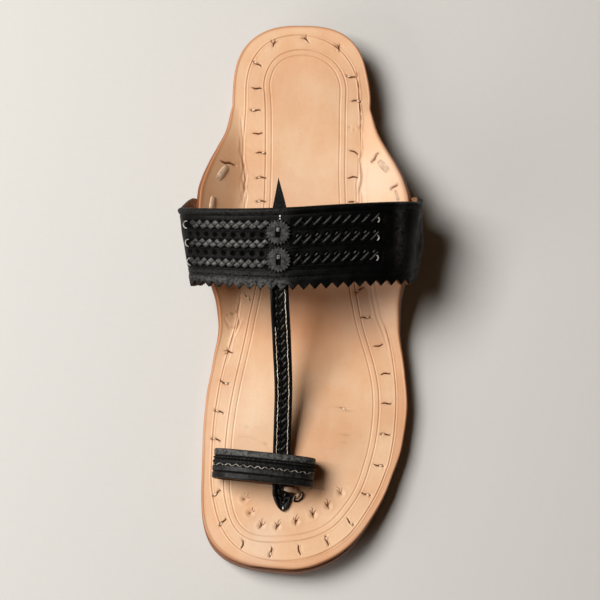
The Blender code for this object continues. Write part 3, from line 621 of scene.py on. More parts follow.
def dress(tree, shader, colour, rough, specular, height, strength, depth):
    """Gives the shader its colour, gloss and fine relief, whose depth is in metres."""
    bump = add_node(tree, "Bump", {"Height": height, "Strength": strength, "Distance": depth})
    connect(tree, shader, {"Base Color": colour, "Roughness": rough, "Normal": bump,
                           "Specular IOR Level": specular})


def tan_leather(settings):
    """Vegetable tanned cowhide, dyed by light alone: warm, slightly mottled, fine pores."""
    material, tree, shader, place = new_material("vegetable tanned cowhide")
    mottle = add_node(tree, "TexNoise", {"Vector": place, "Scale": 1000 / 26, "Detail": 3,
                                         "Roughness": 0.55})
    drawn_out = add_node(tree, "Mapping", {"Vector": place, "Scale": (1, 0.25, 1)})
    # Over the tan: burnished edge and deeper border with painted warm shade under the band, flesh
    # side, painted highlights with paler tone, and painted shade in grooves, slits, creases, beside
    # the strap and along the rim
    colour = paint(tree, settings.tan, (
        (add_node(tree, "MapRange", {0: mottle, 1: 0.35, 2: 0.68}), settings.tan_deep),
        (patches(tree, drawn_out, 9, 4, 0.45, 0.75, 0, 0.35), "#DEA470"),
        (patches(tree, place, 1.6, 3, 0.55, 0.8, 0, 0.18), "#C88F62"),
        ("burnish_and_warm_shade", settings.edge), ("flesh", "#A87B55"), ("highlight_and_pale_tone", "#F2DCC6"),
        ("shade", "#663519")))
    rough = patches(tree, place, 12, 3, 0.3, 0.7, 0.40, 0.52)
    pores = add_node(tree, "TexVoronoi", {"Vector": place, "Scale": 1000 / 0.9})
    pores = add_node(tree, "MapRange", {0: pores, 1: 0.0, 2: 0.5})
    fine = add_node(tree, "TexNoise", {"Vector": place, "Scale": 1000 / 0.7, "Detail": 4})
    grain = add_node(tree, "Math", {0: pores, 1: fine}, operation="ADD")
    grain = add_node(tree, "Math", {0: mottle, 1: 3.0, 2: grain}, operation="MULTIPLY_ADD")
    dress(tree, shader, colour, rough, 0.42, grain, 0.16, 0.00012)
    shader.inputs["IOR"].default_value = 1.48
    return material


def black_leather(name, settings, roughness=0.42, lining=False, raw=False, wear_and_light=False,
                  gloss=0.20):
    """Dyed cowhide with a thin wax finish: near black, fine grain, grey where it is rubbed and
    where a sheen is painted, near black where shade is painted in pits.
    """
    material, tree, shader, place = new_material(name)
    rough = patches(tree, place, 4, 4, 0.3, 0.7, roughness - 0.08, roughness + 0.10)
    layers = [(patches(tree, place, 7, 5, 0.52, 0.78, 0, 0.5, 0.65), settings.black_rubbed),
              (patches(tree, place, 0.9, 2, 0.68, 0.76, 0, 0.35), "#3C3A39")]
    # Rub marks turn it grey where it is worn and where a sheen is painted; pit marks are painted
    # shade, near black
    if wear_and_light:
        rub, pit = (add_node(tree, "Attribute", {}, "Fac", attribute_name=mark_name)
                    for mark_name in ("rub", "pit"))
        shown = patches(tree, place, 1.6, 6, 0.38, 0.62, 0.05, 1.0, 0.75)
        rubbed = add_node(tree, "Math", {0: rub, 1: shown}, operation="MULTIPLY")
        layers += [(rubbed, "#7A7976"), (pit, "#020202")]
        rough = add_node(tree, "Math", {0: pit, 1: 0.5, 2: rough}, operation="MULTIPLY_ADD")
    if lining:
        side = add_node(tree, "Attribute", {}, "Fac", attribute_name="lining")
        nap = paint(tree, linear("#6E4A33"), [(patches(tree, place, 1.2, 4, 0.3, 0.7), "#A47A5A")])
        layers.append((side, nap))
        rough = add_node(tree, "Mix", {0: side, 2: rough, 3: 0.95}, data_type="FLOAT")
    if raw:
        cut_edge = add_node(tree, "Attribute", {}, "Fac", attribute_name="raw")
        shown = patches(tree, place, 1.5, 2, 0.42, 0.55, 0.1, 0.9)
        layers.append((add_node(tree, "Math", {0: cut_edge, 1: shown}, operation="MULTIPLY"),
                       "#BDB8AC"))
    cells = add_node(tree, "TexVoronoi", {"Vector": place, "Scale": 1000 / 0.8})
    cells = add_node(tree, "MapRange", {0: cells, 1: 0.0, 2: 0.6})
    fine = add_node(tree, "TexNoise", {"Vector": place, "Scale": 1000 / 0.5, "Detail": 4})
    grain = add_node(tree, "Math", {0: cells, 1: fine}, operation="ADD")
    dress(tree, shader, paint(tree, settings.black, layers), rough, gloss, grain, 0.35, 0.0002)
    return material


def raw_leather(name, pale, deep, size_mm=0.8):
    """The cut edge or flesh side of undyed leather: loose pale fibres, no gloss."""
    material, tree, shader, place = new_material(name)
    fibres = add_node(tree, "TexNoise", {"Vector": place, "Scale": 1000 / size_mm, "Detail": 4})
    shown = add_node(tree, "MapRange", {0: fibres, 1: 0.35, 2: 0.65})
    colour = paint(tree, linear(deep), [(shown, pale)])
    dress(tree, shader, colour, 0.85, 0.12, fibres, 0.4, 0.0002)
    return material


def layered_edge(name, settings, layer_mm):
    """Pressed leather layers with a waxed cut edge: brown bands that run round the sole."""
    material, tree, shader, place = new_material(name)
    flat = add_node(tree, "Mapping", {"Vector": place, "Scale": (0.02, 0.02, 1)})
    layers = add_node(tree, "TexNoise", {"Vector": flat, "Scale": 1000 / layer_mm, "Detail": 3})
    colour = paint(tree, settings.side, (
        (add_node(tree, "MapRange", {0: layers, 1: 0.38, 2: 0.62}), "#5F351B"),
        (patches(tree, place, 9, 3, 0.4, 0.7, 0, 0.4), "#A87044")))
    fine = add_node(tree, "TexNoise", {"Vector": place, "Scale": 1000 / 0.8, "Detail": 3})
    height = add_node(tree, "Math", {0: layers, 1: fine}, operation="ADD")
    rough = patches(tree, place, 9, 3, 0.3, 0.7, 0.45, 0.62)
    dress(tree, shader, colour, rough, 0.5, height, 0.35, 0.0003)
    return material


# Loop round the sole: down the big-toe side, round the toe, up the other side, round the heel
HEEL_CENTRE = HEEL_Y - 0.036
TOE_CENTRE = y_at(1.0) + 0.048
SIDE_RUN = HEEL_CENTRE - TOE_CENTRE
TOE_RUN, HEEL_RUN = math.pi * 0.045, math.pi * 0.033
LOOP_RUN = 2 * SIDE_RUN + TOE_RUN + HEEL_RUN


def loop_place(x, y):
    """Place along the loop round the sole, and distance from the sole's spine."""
    x, y = np.asarray(x, float), np.asarray(y, float)
    toe, heel = y < TOE_CENTRE, y > HEEL_CENTRE
    spine_y = np.clip(y, TOE_CENTRE, HEEL_CENTRE)
    distance = np.hypot(x, y - spine_y)
    toe_turn = np.arctan2(x, TOE_CENTRE - y) / math.pi + 0.5
    heel_turn = np.arctan2(-x, y - HEEL_CENTRE) / math.pi + 0.5
    side = np.where(x < 0, HEEL_CENTRE - spine_y, SIDE_RUN + TOE_RUN + spine_y - TOE_CENTRE)
    place = np.where(toe, SIDE_RUN + TOE_RUN * toe_turn, side)
    return np.where(heel, 2 * SIDE_RUN + TOE_RUN + HEEL_RUN * heel_turn, place), distance


def loop_ray(place):
    """Where the ray of a loop place starts on the spine, and its direction."""
    place = np.asarray(place) % LOOP_RUN
    toe = (place - SIDE_RUN) / TOE_RUN
    right = place - SIDE_RUN - TOE_RUN
    heel = (right - SIDE_RUN) / HEEL_RUN
    y = np.select([toe < 0, toe <= 1, heel < 0], [HEEL_CENTRE - place, TOE_CENTRE,
                                                  TOE_CENTRE + right], HEEL_CENTRE)
    angle = np.select([toe < 0, toe <= 1, heel < 0],
                      [math.pi, math.pi * (1 + toe), 0], math.pi * heel)
    return y, np.stack((np.cos(angle), np.sin(angle)), -1)


def closed_line(points, smooth_mm=5.0):
    """Distance of a closed line from the spine, read at places of the loop."""
    x, y = np.array(points).T
    places, distances = loop_place(x, y)
    order = np.argsort(places)
    grid = np.linspace(0, LOOP_RUN, 1400, endpoint=False)
    line = np.interp(grid, places[order], distances[order], period=LOOP_RUN)
    if smooth_mm:
        spread = smooth_mm / 1000 / (LOOP_RUN / len(grid))
        steps = np.arange(-int(3 * spread), int(3 * spread) + 1)
        weights = np.exp(-(steps / spread) ** 2 / 2)
        line = sum(w * np.roll(line, s) for w, s in zip(weights, steps)) / weights.sum()
    return lambda at: np.interp(at, grid, line, period=LOOP_RUN)


# Where the leather has spread past its pattern: place, mm on the seat and the sole, reach in mm
RIM_SPREAD = [
    ((36.0, -122.0), 2.5, 2.4, 26), ((27.0, 131.0), 2.3, 2.1, 16), ((-30.0, 125.0), 1.2, 1.1, 14),
    ((56.0, -60.0), 1.0, 0.7, 36), ((0.0, -138.0), 0.7, 1.1, 26), ((-36.0, -126.0), 1.2, 1.6, 15),
    ((22.0, -132.0), 1.1, 1.8, 16), ((50.0, -93.0), 0.9, 0.8, 18), ((44.0, -12.0), 1.1, 0.6, 20),
]


def sole_rim(extra):
    """Distance of the rim from the spine, with the ears' share of the reach."""
    along = (1 - np.cos(np.linspace(0, math.pi, 1500))) / 2
    points = []
    for side in (BIG_TOE, LITTLE_TOE):
        width = half_width(side, along) + extra * ear_reach(side, along)
        points.append(np.stack((side * width, y_at(along)), -1))
    line = closed_line(np.concatenate(points), 0)

    def read(places):
        rim = line(places)
        for (x, y), seat, sole, reach in RIM_SPREAD:
            away = np.abs(places - loop_place(x / 1000, y / 1000)[0])
            away = np.minimum(away, LOOP_RUN - away)
            rim = rim + mix(sole, seat, extra) / 1000 * bell(away, reach / 1000)
        return rim

    return read


def spread_columns(start, length, count, centres, sharpness):
    """Places along a run, closer together near the centres."""
    grid = np.linspace(start, start + length, 4000)
    density = np.ones_like(grid)
    for centre in centres:
        density += sharpness * np.exp(-((grid - centre) / 0.0009) ** 2)
    total = np.concatenate(([0], np.cumsum((density[1:] + density[:-1]) / 2)))
    return np.interp(np.linspace(0, total[-1], count + 1)[:-1], total, grid)


def sole_columns(counts, sharpness, points):
    """Loop places of the columns, with as many on one side as on the other."""
    centres = loop_place(*(np.array([(p[0], p[1]) for p in points]).T / 1000))[0]
    side, toe, heel = counts
    starts = (0, SIDE_RUN, SIDE_RUN + TOE_RUN, 2 * SIDE_RUN + TOE_RUN)
    runs = ((side, SIDE_RUN), (toe, TOE_RUN), (side, SIDE_RUN), (heel, HEEL_RUN))
    return [spread_columns(start, length, count, centres, sharpness)
            for start, (count, length) in zip(starts, runs)]


def sole_plan(sections, distances, inner):
    """Points in plan for rows of distances; inside 'inner' both sides' columns meet."""
    places = np.concatenate(sections)
    spine, direction = loop_ray(places)
    left, toe, right, heel = sections
    shared = (HEEL_CENTRE - left + (TOE_CENTRE + (right - SIDE_RUN - TOE_RUN))[::-1]) / 2
    meet = np.concatenate((shared, np.full(len(toe), TOE_CENTRE), shared[::-1],
                           np.full(len(heel), HEEL_CENTRE)))
    share = np.clip(distances / inner, 0, 1)
    x = distances * direction[:, 0]
    y = mix(meet, spine, share) + distances * direction[:, 1]
    return x, y


def along_polyline(x, y, points):
    """Distance from a polyline, and share of the way along it."""
    best = np.full(x.shape, 1.0)
    share = np.zeros(x.shape)
    last = len(points) - 1
    for k, (a, b) in enumerate(zip(points, points[1:])):
        ax, ay, bx, by = a[0] / 1000, a[1] / 1000, b[0] / 1000, b[1] / 1000
        length = (bx - ax) ** 2 + (by - ay) ** 2
        t = np.clip(((x - ax) * (bx - ax) + (y - ay) * (by - ay)) / length, 0, 1)
        distance = np.hypot(x - mix(ax, bx, t), y - mix(ay, by, t))
        nearer = distance < best
        best = np.where(nearer, distance, best)
        share = np.where(nearer, (k + t) / last, share)
    return best, share


def bell(value, width):
    return np.exp(-(value / width) ** 2)


def falloff(value, width):
    """1 below zero and 0 above it, with a soft step about four widths long."""
    return 1 / (1 + np.exp(np.minimum(value / width, 500)))


def cut(x, y, place, angle, length, width=0.00026, depth=0.0007, eye=0):
    """A slit: a narrow trough with soft sides and raised lips, opened into a wedge at its eye, with
    painted shade inside it.
    """
    dx, dy = x - place[0] / 1000, y - place[1] / 1000
    c, s = math.cos(angle), math.sin(angle)
    run, off = dx * c + dy * s, -dx * s + dy * c
    off = off + WAVER * np.sin(run * WAVES + place[0])
    open_share = np.clip(0.5 + eye * run / length, 0, 1) ** 2 * abs(eye)
    wide = width * (1 + 1.1 * open_share)
    ends = falloff(np.abs(run) - length / 2, 0.00020)
    narrow = bell(off, wide) * ends
    lips = bell(np.abs(off) - 1.6 * wide - 0.0002, 0.0003) * ends
    dish = bell(off, 0.0013) * bell(run, length * 0.5)
    height = -depth * (1 + 0.8 * open_share) * narrow + 0.00022 * lips - 0.00028 * dish
    return height, (0.80 - 0.42 * open_share) * narrow + 0.08 * dish


def stitch_angle(cx, cy, turn):
    """Direction of a stitch, which lies across the border of the seat."""
    ray = loop_ray(float(loop_place(cx / 1000, cy / 1000)[0]))[1]
    return math.atan2(ray[1], ray[0]) + math.radians(turn * (1 if cx < 0 else -1))


def dimple_height(radius):
    """Depth of a dimple with its raised lip."""
    return (0.00014 * bell(radius - 0.0024, 0.0007) - 0.0008 * bell(radius, 0.0006)
            - 0.00022 * bell(radius, 0.0017))


def tooled_seat(x, y, to_outer, to_inner, to_second, settings):
    """Height that the maker's tools leave on the seat, and painted shade in its grooves, slits,
    dimples, creases and ear slits.
    """
    depth = settings.groove_depth
    height, shade = np.zeros(x.shape), np.zeros(x.shape)
    mm_x, mm_y = x * 1000, y * 1000
    ear_zone = np.clip((rise_share(along_at(y)) - 0.05) / 0.2, 0, 1)
    outer = mix(1.0, 0.35, ear_zone)
    # The painted shade in the grooves is stronger in some stretches than in others
    wear_and_light = 0.65 + 0.35 * np.sin(mm_y * 0.19 + mm_x * 0.27) * np.sin(mm_y * 0.071 + 1.3)
    for line, deep, wide in ((to_outer, outer, 0.00027), (to_inner, 0.85, 0.00025),
                             (to_second, 0.6, 0.00025)):
        groove = bell(line, wide)
        height -= depth * deep * groove
        height += depth * 0.3 * deep * bell(np.abs(line) - 0.00062, 0.0003)
        shade += 0.36 * deep * wear_and_light * groove
    # The edge outside the outer line is pressed down a little, and the middle is cushioned
    height -= 0.00012 * falloff(0.0004 - to_outer, 0.0002) * (1 - ear_zone)
    for cx, cy, turn, kind in STITCHES:
        angle = stitch_angle(cx, cy, turn)
        eye = EYES.get(kind, 0)
        deep, dim = (0.00035, 0.6) if kind in SMALL_STITCHES else (0.0006, 1.0)
        drop, dark = cut(x, y, (cx, cy), angle, settings.stitch_length, depth=deep, eye=eye)
        height += drop
        shade += dim * dark
        if kind == "fork":
            for lean in (-0.7, 0.75):
                tip = (cx + 1.3 * math.cos(angle + lean), cy + 1.3 * math.sin(angle + lean))
                drop, dark = cut(x, y, tip, angle + lean, 0.0024, depth=0.00035)
                height += drop
                shade += 0.7 * dark
    for cx, cy in DIMPLES:
        radius = np.hypot(x - cx / 1000, y - cy / 1000)
        height += dimple_height(radius)
        shade += 0.8 * bell(radius, 0.0005) + 0.10 * bell(radius, 0.0016)
    for deep, wide, points in CREASES:
        away, share = along_polyline(x, y, points)
        fade = np.sin(np.pi * np.clip(share * 0.94 + 0.03, 0, 1)) ** 0.5
        height -= deep / 1000 * bell(away, wide / 1000) * fade
        height += deep / 3000 * bell(away - wide * 0.0018, wide / 1000) * fade
        shade += deep * bell(away, wide * 0.0008) * fade
    for cx, cy, angle, length in EAR_SLITS:
        drop, dark = cut(x, y, (cx, cy), math.radians(angle), length / 1000,
                         width=0.00042, depth=0.0009)
        height += drop
        shade += 1.2 * dark
    ripple = (np.sin(mm_y * 0.9 + 1.4 * np.sin(mm_x * 0.31)) * np.sin(mm_y * 0.23 + mm_x * 0.6)
              + 0.6 * np.sin(mm_y * 1.7 + mm_x * 0.9))
    fold = bell(to_outer, 0.0032) * ear_zone
    height += 0.00007 * ripple * fold
    # Hand pressure leaves the broad surface a little uneven
    height += 0.00010 * (np.sin(mm_x * 0.11 + 0.8) * np.sin(mm_y * 0.07 + 0.3)
                         + 0.5 * np.sin(mm_x * 0.23 + mm_y * 0.05))
    return height, np.clip(shade, 0, 0.95)


def length_setting(name, description, default, low, high):
    return bpy.props.FloatProperty(name=name, description=description, default=default, min=low,
                                   max=high, subtype="DISTANCE", unit="LENGTH")


def colour_setting(name, description, default):
    return bpy.props.FloatVectorProperty(name=name, description=description, size=3, min=0,
                                         max=1, default=linear(default), subtype="COLOR")


def power_setting(name, description, default):
    return bpy.props.FloatProperty(name=name, description=description, default=default, min=0)


class SoleSettings(bpy.types.PropertyGroup):
    groove_depth: length_setting(
        "Groove depth", "Depth of the tooled lines of the seat", 0.00034, 0, 0.001)
    stitch_length: length_setting(
        "Stitch length", "Length of each stitch slit in the seat", 0.0049, 0.001, 0.008)
    edge_rounding: length_setting(
        "Edge rounding", "Radius of the seat's worked edge", 0.0008, 0.0001, 0.0015)
    tan: colour_setting("Tan", "Pale parts of the undyed leather", "#F0CAA4")
    tan_deep: colour_setting("Deep tan", "Deeper patches of the undyed leather", "#E8B68C")
    # The edge colour also tints the border and the painted warm shade under the band
    edge: colour_setting("Edge", "Burnished cut edge of the seat", "#CE8350")
    side: colour_setting("Sole side", "Waxed sides of the outsole and the heel", "#8C5431")


class BandSettings(bpy.types.PropertyGroup):
    plait_pitch: length_setting(
        "Plait pitch", "Length of one lace crossing in the plaits", 0.0047, 0.002, 0.008)
    plait_height: length_setting(
        "Plait height", "How far the plaited lace stands up", 0.0009, 0.0002, 0.002)
    hole_radius: length_setting(
        "Hole radius", "Radius of the punched holes", 0.00105, 0.0003, 0.002)
    rosette: length_setting(
        "Rosette", "Diameter of the pinked discs over their teeth", 0.0126, 0.010, 0.013)
    black: colour_setting("Black", "Dyed leather", "#040404")
    black_rubbed: colour_setting("Rubbed black", "Dyed leather where it is rubbed", "#191818")


class StageSettings(bpy.types.PropertyGroup):
    floor: colour_setting("Floor", "Colour of the studio floor", "#D6D4D0")
    key_power: power_setting("Key light", "Power of the large soft light", 26.4)
    side_power: power_setting("Side light", "Power of the light from the left", 4.6)
    fill: power_setting("Fill", "Strength of the light from all round", 0.033)


def shell_points(x, y, depths):
    """Points at depths under the top face, one row of plan places for each depth."""
    face, normal = sole_frame(x, y)
    return face - normal * depths[..., None]


class SANDAL_OT_seat(bpy.types.Operator):
    """Top sole of thick tan leather, with its ears, tooled lines, slits and dimples"""
    bl_idname = "sandal.seat"
    bl_label = "Seat"

    def execute(self, context):
        settings = context.scene.sandal_sole
        slits = STITCHES + EAR_SLITS + DIMPLES
        sections = sole_columns(SEAT_COLUMNS, 4.0, slits)
        places = np.concatenate(sections)
        rim = sole_rim(1.0)(places)
        outer = closed_line(np.array(OUTER_LINE_MM) / 1000)(places)
        outer = np.minimum(outer, rim - LEAST_BORDER)
        inner = closed_line(np.array(INNER_LINE_MM) / 1000)(places)
        second = inner - SECOND_LINE_INSET
        core, rounding = second - CORE_INSET, settings.edge_rounding
        rows = [rim - rounding * inset for inset in (0.04, 0.3, 0.65, 1.0)]

        def rows_between(before, after, count):
            for k in range(1, count + 1):
                rows.append(mix(before, after, k / (count + 1)))

        for line, count in zip((outer, inner, second), SEAT_ROWS):
            rows_between(rows[-1], line + BESIDE_LINE[0], count)
            rows += [line + step for step in BESIDE_LINE]
        rows_between(rows[-1], core, SEAT_ROWS[3])
        rows_between(core, 0 * rim, SEAT_ROWS[4])
        rows.append(0 * rim)
        distances = np.array(rows)
        x, y = sole_plan(sections, distances, core)
        height, shade = tooled_seat(x, y, distances - outer, distances - inner,
                                    distances - second, settings)
        inset = np.clip((rim - distances) / rounding, 0, 1)
        drop = rounding * (1 - np.sqrt(1 - (1 - inset) ** 2))
        height *= np.clip((rim - distances - rounding) / 0.0006, 0, 1)
        face, normal = sole_frame(x, y)
        top = face + normal * (height - drop)[..., None]
        burnish_and_warm_shade = 0.85 * np.clip(1 - (rim - distances) / 0.0016, 0, 1) ** 0.7
        flat = 1 - np.clip((rise_share(along_at(y)) - 0.05) / 0.2, 0, 1)
        border = flat * falloff(outer - distances, 0.00025)
        tone = mix(0.10, 0.38, np.clip((0.02 - y) / 0.08, 0, 1)) * np.where(x < -0.02, 0.6, 1)
        burnish_and_warm_shade = np.maximum(burnish_and_warm_shade, tone * border)

        wall_depths = np.array((TOP_SOLE_THICKNESS - 0.0004, 0.0022, 0.0015, rounding))
        wall_insets = (0.0001, 0.0, 0.0, 0.0)
        below = [rim - inset for inset in (0.0005, 0.003, 0.008)]
        below += [mix(0 * rim, rim, share) for share in (0.62, 0.35, 0.0)]
        below = np.array(below[::-1])
        bx, by = sole_plan(sections, below, second)
        under = shell_points(bx, by, np.full(below.shape, TOP_SOLE_THICKNESS))
        wx, wy = sole_plan(sections, np.array([rim - inset for inset in wall_insets]), second)
        wall = shell_points(wx, wy, np.repeat(wall_depths[:, None], len(rim), 1))
        points = np.concatenate((under, wall, top))
        plain = np.zeros((len(under) + len(wall), len(rim)))
        flesh = np.concatenate((np.ones(under.shape[:2]), plain[:len(wall)], 0 * shade))
        highlight_and_pale_tone = 0 * shade

        def spot(cx, cy, radius):
            return bell(np.hypot(x - cx / 1000, y - cy / 1000), radius / 1000)

        # Warm patches deepen the burnished tan; under the band they are painted warm shade
        for *place, share in WARM:
            burnish_and_warm_shade = np.maximum(burnish_and_warm_shade, share * spot(*place))
        # Patches add painted shade, as beside the strap, and painted highlight, as on the right ear
        for *place, darker, paler in PATCHES:
            shade = np.clip(shade + darker * spot(*place), 0, 0.95)
            highlight_and_pale_tone += paler * spot(*place)
        edge, wall_shade = plain.copy(), plain.copy()
        edge[len(under):] = 0.9
        wall_shade[len(under):] = mix(0.62, 0.88, rise_share(along_at(wy)))
        # Painted shade along the rim, partly wear, stronger on the ears and towards the toe
        worn_and_shaded_rim = mix(0.20, 0.36, rise_share(along_at(y))) + 0.18 * falloff(y + 0.09, 0.006)
        shade = np.clip(shade + worn_and_shaded_rim * bell(rim - distances, 0.0013), 0, 0.95)
        rolled = [np.concatenate((part, part[:, :1]), 1) for part in (
            points, np.concatenate((wall_shade, shade)), np.concatenate((edge, burnish_and_warm_shade)), flesh,
            np.concatenate((plain, highlight_and_pale_tone)))]
        item = sheet("tooled_seat", rolled[0])
        for name, values in zip(("shade", "burnish_and_warm_shade", "flesh", "highlight_and_pale_tone"), rolled[1:]):
            mark(item, name, values)
        close(item)
        finish_piece(item, tan_leather(settings), "tan_leather", "top_sole", sharp=60)
        return {"FINISHED"}


def block_under(name, rim, sections, top_of, depth, rows_of_wall, ease):
    """A flat block of leather: a rounded wall between a top and a bottom face."""
    def ring(distance, depth):
        x, y = sole_plan(sections, distance, rim * 0.8)
        return top_of(x, y, depth)

    rows = [ring(rim * share, depth) for share in (0, 0.4, 0.8)]
    rows.append(ring(rim - ease, depth))
    for step in range(rows_of_wall + 1):
        level = mix(depth - ease, ease, step / rows_of_wall)
        rows.append(ring(rim, level))
    rows += [ring(rim - ease, 0.0)] + [ring(rim * share, 0.0) for share in (0.8, 0.4, 0)]
    points = np.array(rows)
    item = sheet(name, np.concatenate((points, points[:, :1]), 1))
    close(item)
    return item


class SANDAL_OT_outsole(bpy.types.Operator):
    """Walking sole of pressed leather, full length, with a waxed edge"""
    bl_idname = "sandal.outsole"
    bl_label = "Outsole"

    def execute(self, context):
        settings = context.scene.sandal_sole
        sections = sole_columns(OUTSOLE_COLUMNS, 0.0, STITCHES)
        rim = sole_rim(0.0)(np.concatenate(sections))

        def below(x, y, depth):
            along = np.clip(along_at(y), 0, 1)
            slope = np.arctan(seat_slope(along))
            depth = depth + TOP_SOLE_THICKNESS + SEAM_GAP
            return np.stack((x, y + np.sin(slope) * depth,
                             seat_height(along) - np.cos(slope) * depth), -1)

        item = block_under("waxed_outsole", rim, sections, below, OUTSOLE_THICKNESS, 6, 0.0006)
        finish_piece(item, layered_edge("waxed sole leather", settings, 2.6), "sole_leather",
                     "outsole", sharp=50)
        return {"FINISHED"}


class SANDAL_OT_heel_lift(bpy.types.Operator):
    """Low stacked block under the heel, with its better material"""
    bl_idname = "sandal.heel_lift"
    bl_label = "Heel lift"

    def execute(self, context):
        material = layered_edge("stacked heel leather", context.scene.sandal_sole, 1.8)
        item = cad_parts["heel_lift"]
        item.data.materials.clear()
        item.data.materials.append(material)
        return {"FINISHED"}


class BandFace:
    """Outer face of the band, read by arc from its middle and distance from its back edge."""

    def __init__(self, cells):
        self.cells = cells
        self.shares = np.linspace(-0.04, 1.08, 29)
        self.lines = np.array([band_section(share, cells) for share in self.shares])
        along = np.gradient(self.lines, axis=1)
        forward = np.gradient(self.lines, axis=0)
        normal = np.cross(forward, along)
        self.normals = normal / np.linalg.norm(normal, axis=-1, keepdims=True)
        steps = np.linalg.norm(np.diff(self.lines, axis=1), axis=-1)
        self.left = steps[:, :cells].sum(1)
        self.right = steps[:, cells:].sum(1)

    def column(self, arc, share):
        left = np.interp(share, self.shares, self.left)
        right = np.interp(share, self.shares, self.right)
        return self.cells + np.where(arc < 0, arc / left, arc / right) * self.cells

    def point(self, column, share, lift):
        """A point over the inner face at a column (a count of cells) and a share across."""
        column, share, lift = np.broadcast_arrays(column, share, lift)
        row = np.clip((share - self.shares[0]) / (self.shares[1] - self.shares[0]), 0,
                      len(self.shares) - 1.001)
        column = np.clip(column, 0, 2 * self.cells - 0.001)
        r, c = row.astype(int), column.astype(int)
        tr, tc = (row - r)[..., None], (column - c)[..., None]

        def read(grid):
            return mix(mix(grid[r, c], grid[r, c + 1], tc),
                       mix(grid[r + 1, c], grid[r + 1, c + 1], tc), tr)

        normal = read(self.normals)
        return read(self.lines) + normal * lift[..., None] / np.linalg.norm(
            normal, axis=-1, keepdims=True)

    def over(self, arc, down, lift):
        """A point by arc from the middle, distance from the back edge and height on the wall."""
        share = down / BAND_WIDTH
        return self.point(self.column(arc, share), share, BAND_WALL + lift)

    def arc_at(self, x, down):
        """Arc from the middle at which the band stands over x, near its top."""
        share = down / BAND_WIDTH
        arcs = np.linspace(-0.075, 0.075, 301)
        line = self.point(self.column(arcs, share), share, BAND_WALL)[:, 0]
        rising = np.maximum.accumulate(line)
        return float(np.interp(x, rising, arcs))


# Rows of plait and of holes, from the back edge: on the big-toe side and on the other
PLAIT_LINES = ((0.0080, 0.0174, 0.0271), (0.0074, 0.0160, 0.0256))
HOLE_LINES = ((0.0130, 0.0222), (0.0136, 0.0230))
PLAIT_PITCHES = (0.0041, 0.0039, 0.00375)
PLAIT_LEFT, PLAIT_RIGHT = -0.0562, 0.0400
PLAIT_CLEAR = 0.0066
TEETH_STEPS = 12


def band_relief(arc, down, middle, settings):
    """Height that rolled rim, grooves, holes and stitches give the band's wall."""
    mm_arc = arc * 1000
    height = 0.0006 * bell(down - 0.0013, 0.0013)
    height -= 0.00035 * bell(down - 0.0033, 0.00035)
    inside = (arc > PLAIT_LEFT - 0.002) & (arc < PLAIT_RIGHT + 0.001)
    near = np.abs(arc - middle) < 0.0050
    plaited = 1.0 * (inside & ~near)
    # Pits are painted shade: the beds under the plaits and the punched holes turn near black
    pits = np.zeros(arc.shape)
    for row in range(3):
        line = plait_line(row, arc, middle)
        bed = falloff(np.abs(down - line) - 0.0024, 0.00015) * plaited
        pits += 0.9 * bed
        height -= 0.00025 * bed
        height -= 0.00028 * bell(down - line - 0.0026, 0.00026) * plaited
        height += 0.00026 * bell(down - line - 0.0031, 0.00026) * plaited
    for row in range(2):
        for hole in band_holes(middle):
            line = HOLE_LINES[int(hole > middle)][row]
            radius = np.hypot(arc - hole, down - line)
            pit = falloff(radius - settings.hole_radius, 0.00012)
            raised = 0.00008 * (hole < middle)
            height += -0.0012 * pit + raised * bell(radius - settings.hole_radius * 1.5, 0.0003)
            pits += pit
    height -= 0.00022 * bell(down - 0.0303, 0.0003)
    stitch = 0.5 + 0.5 * np.sin(mm_arc * 2 * math.pi / 2.4)
    height -= (0.00026 + 0.00016 * stitch) * bell(down - 0.0334, 0.00034)
    height += 0.00018 * bell(down - 0.0352, 0.0012)
    end = arc > 0.046
    height -= 0.00022 * bell(down - 0.0052, 0.0003) * end * (0.4 + 0.6 * stitch)
    height += 0.00012 * (np.sin(mm_arc * 0.21 + down * 160) + 0.6 * np.sin(
        mm_arc * 0.47 + down * 390 + 1.7))
    # Grey of rub and painted sheen on the big-toe half, which faces the light, strongest along the
    # front strip and rolled rim; a painted reflection near the little-toe end
    left = falloff(arc - middle - 0.004, 0.0012)
    strip = falloff(0.0346 - down, 0.0004)
    fade = 0.12 + 0.88 * falloff(down - 0.0364 - (arc + 0.045) * 0.10, 0.0006)
    channel = 0.5 * bell(down - 0.0013, 0.0016) + 0.6 * bell(down - 0.0320, 0.0010)
    sheen = 0.20 * bell(arc - 0.0500, 0.0026) * falloff(down - 0.0290, 0.002)
    plain = mix(0.0, 0.05, np.clip((arc + 0.062) / 0.02, 0, 1))
    rub = left * (plain + 0.52 * strip * fade + 0.20 * channel) + sheen
    return height, np.clip(pits, 0, 1), rub


def plait_line(row, arc, middle):
    """Distance of a row of plait from the back edge, which differs between the sides."""
    share = falloff(middle - arc, 0.003)
    return mix(PLAIT_LINES[0][row], PLAIT_LINES[1][row], share)


def band_holes(middle):
    left = [middle - PLAIT_CLEAR - 0.0016 - 0.0047 * k for k in range(12)]
    right = [middle + PLAIT_CLEAR + 0.0022 + 0.0047 * k for k in range(8)]
    return [arc for arc in left if arc > PLAIT_LEFT] + right


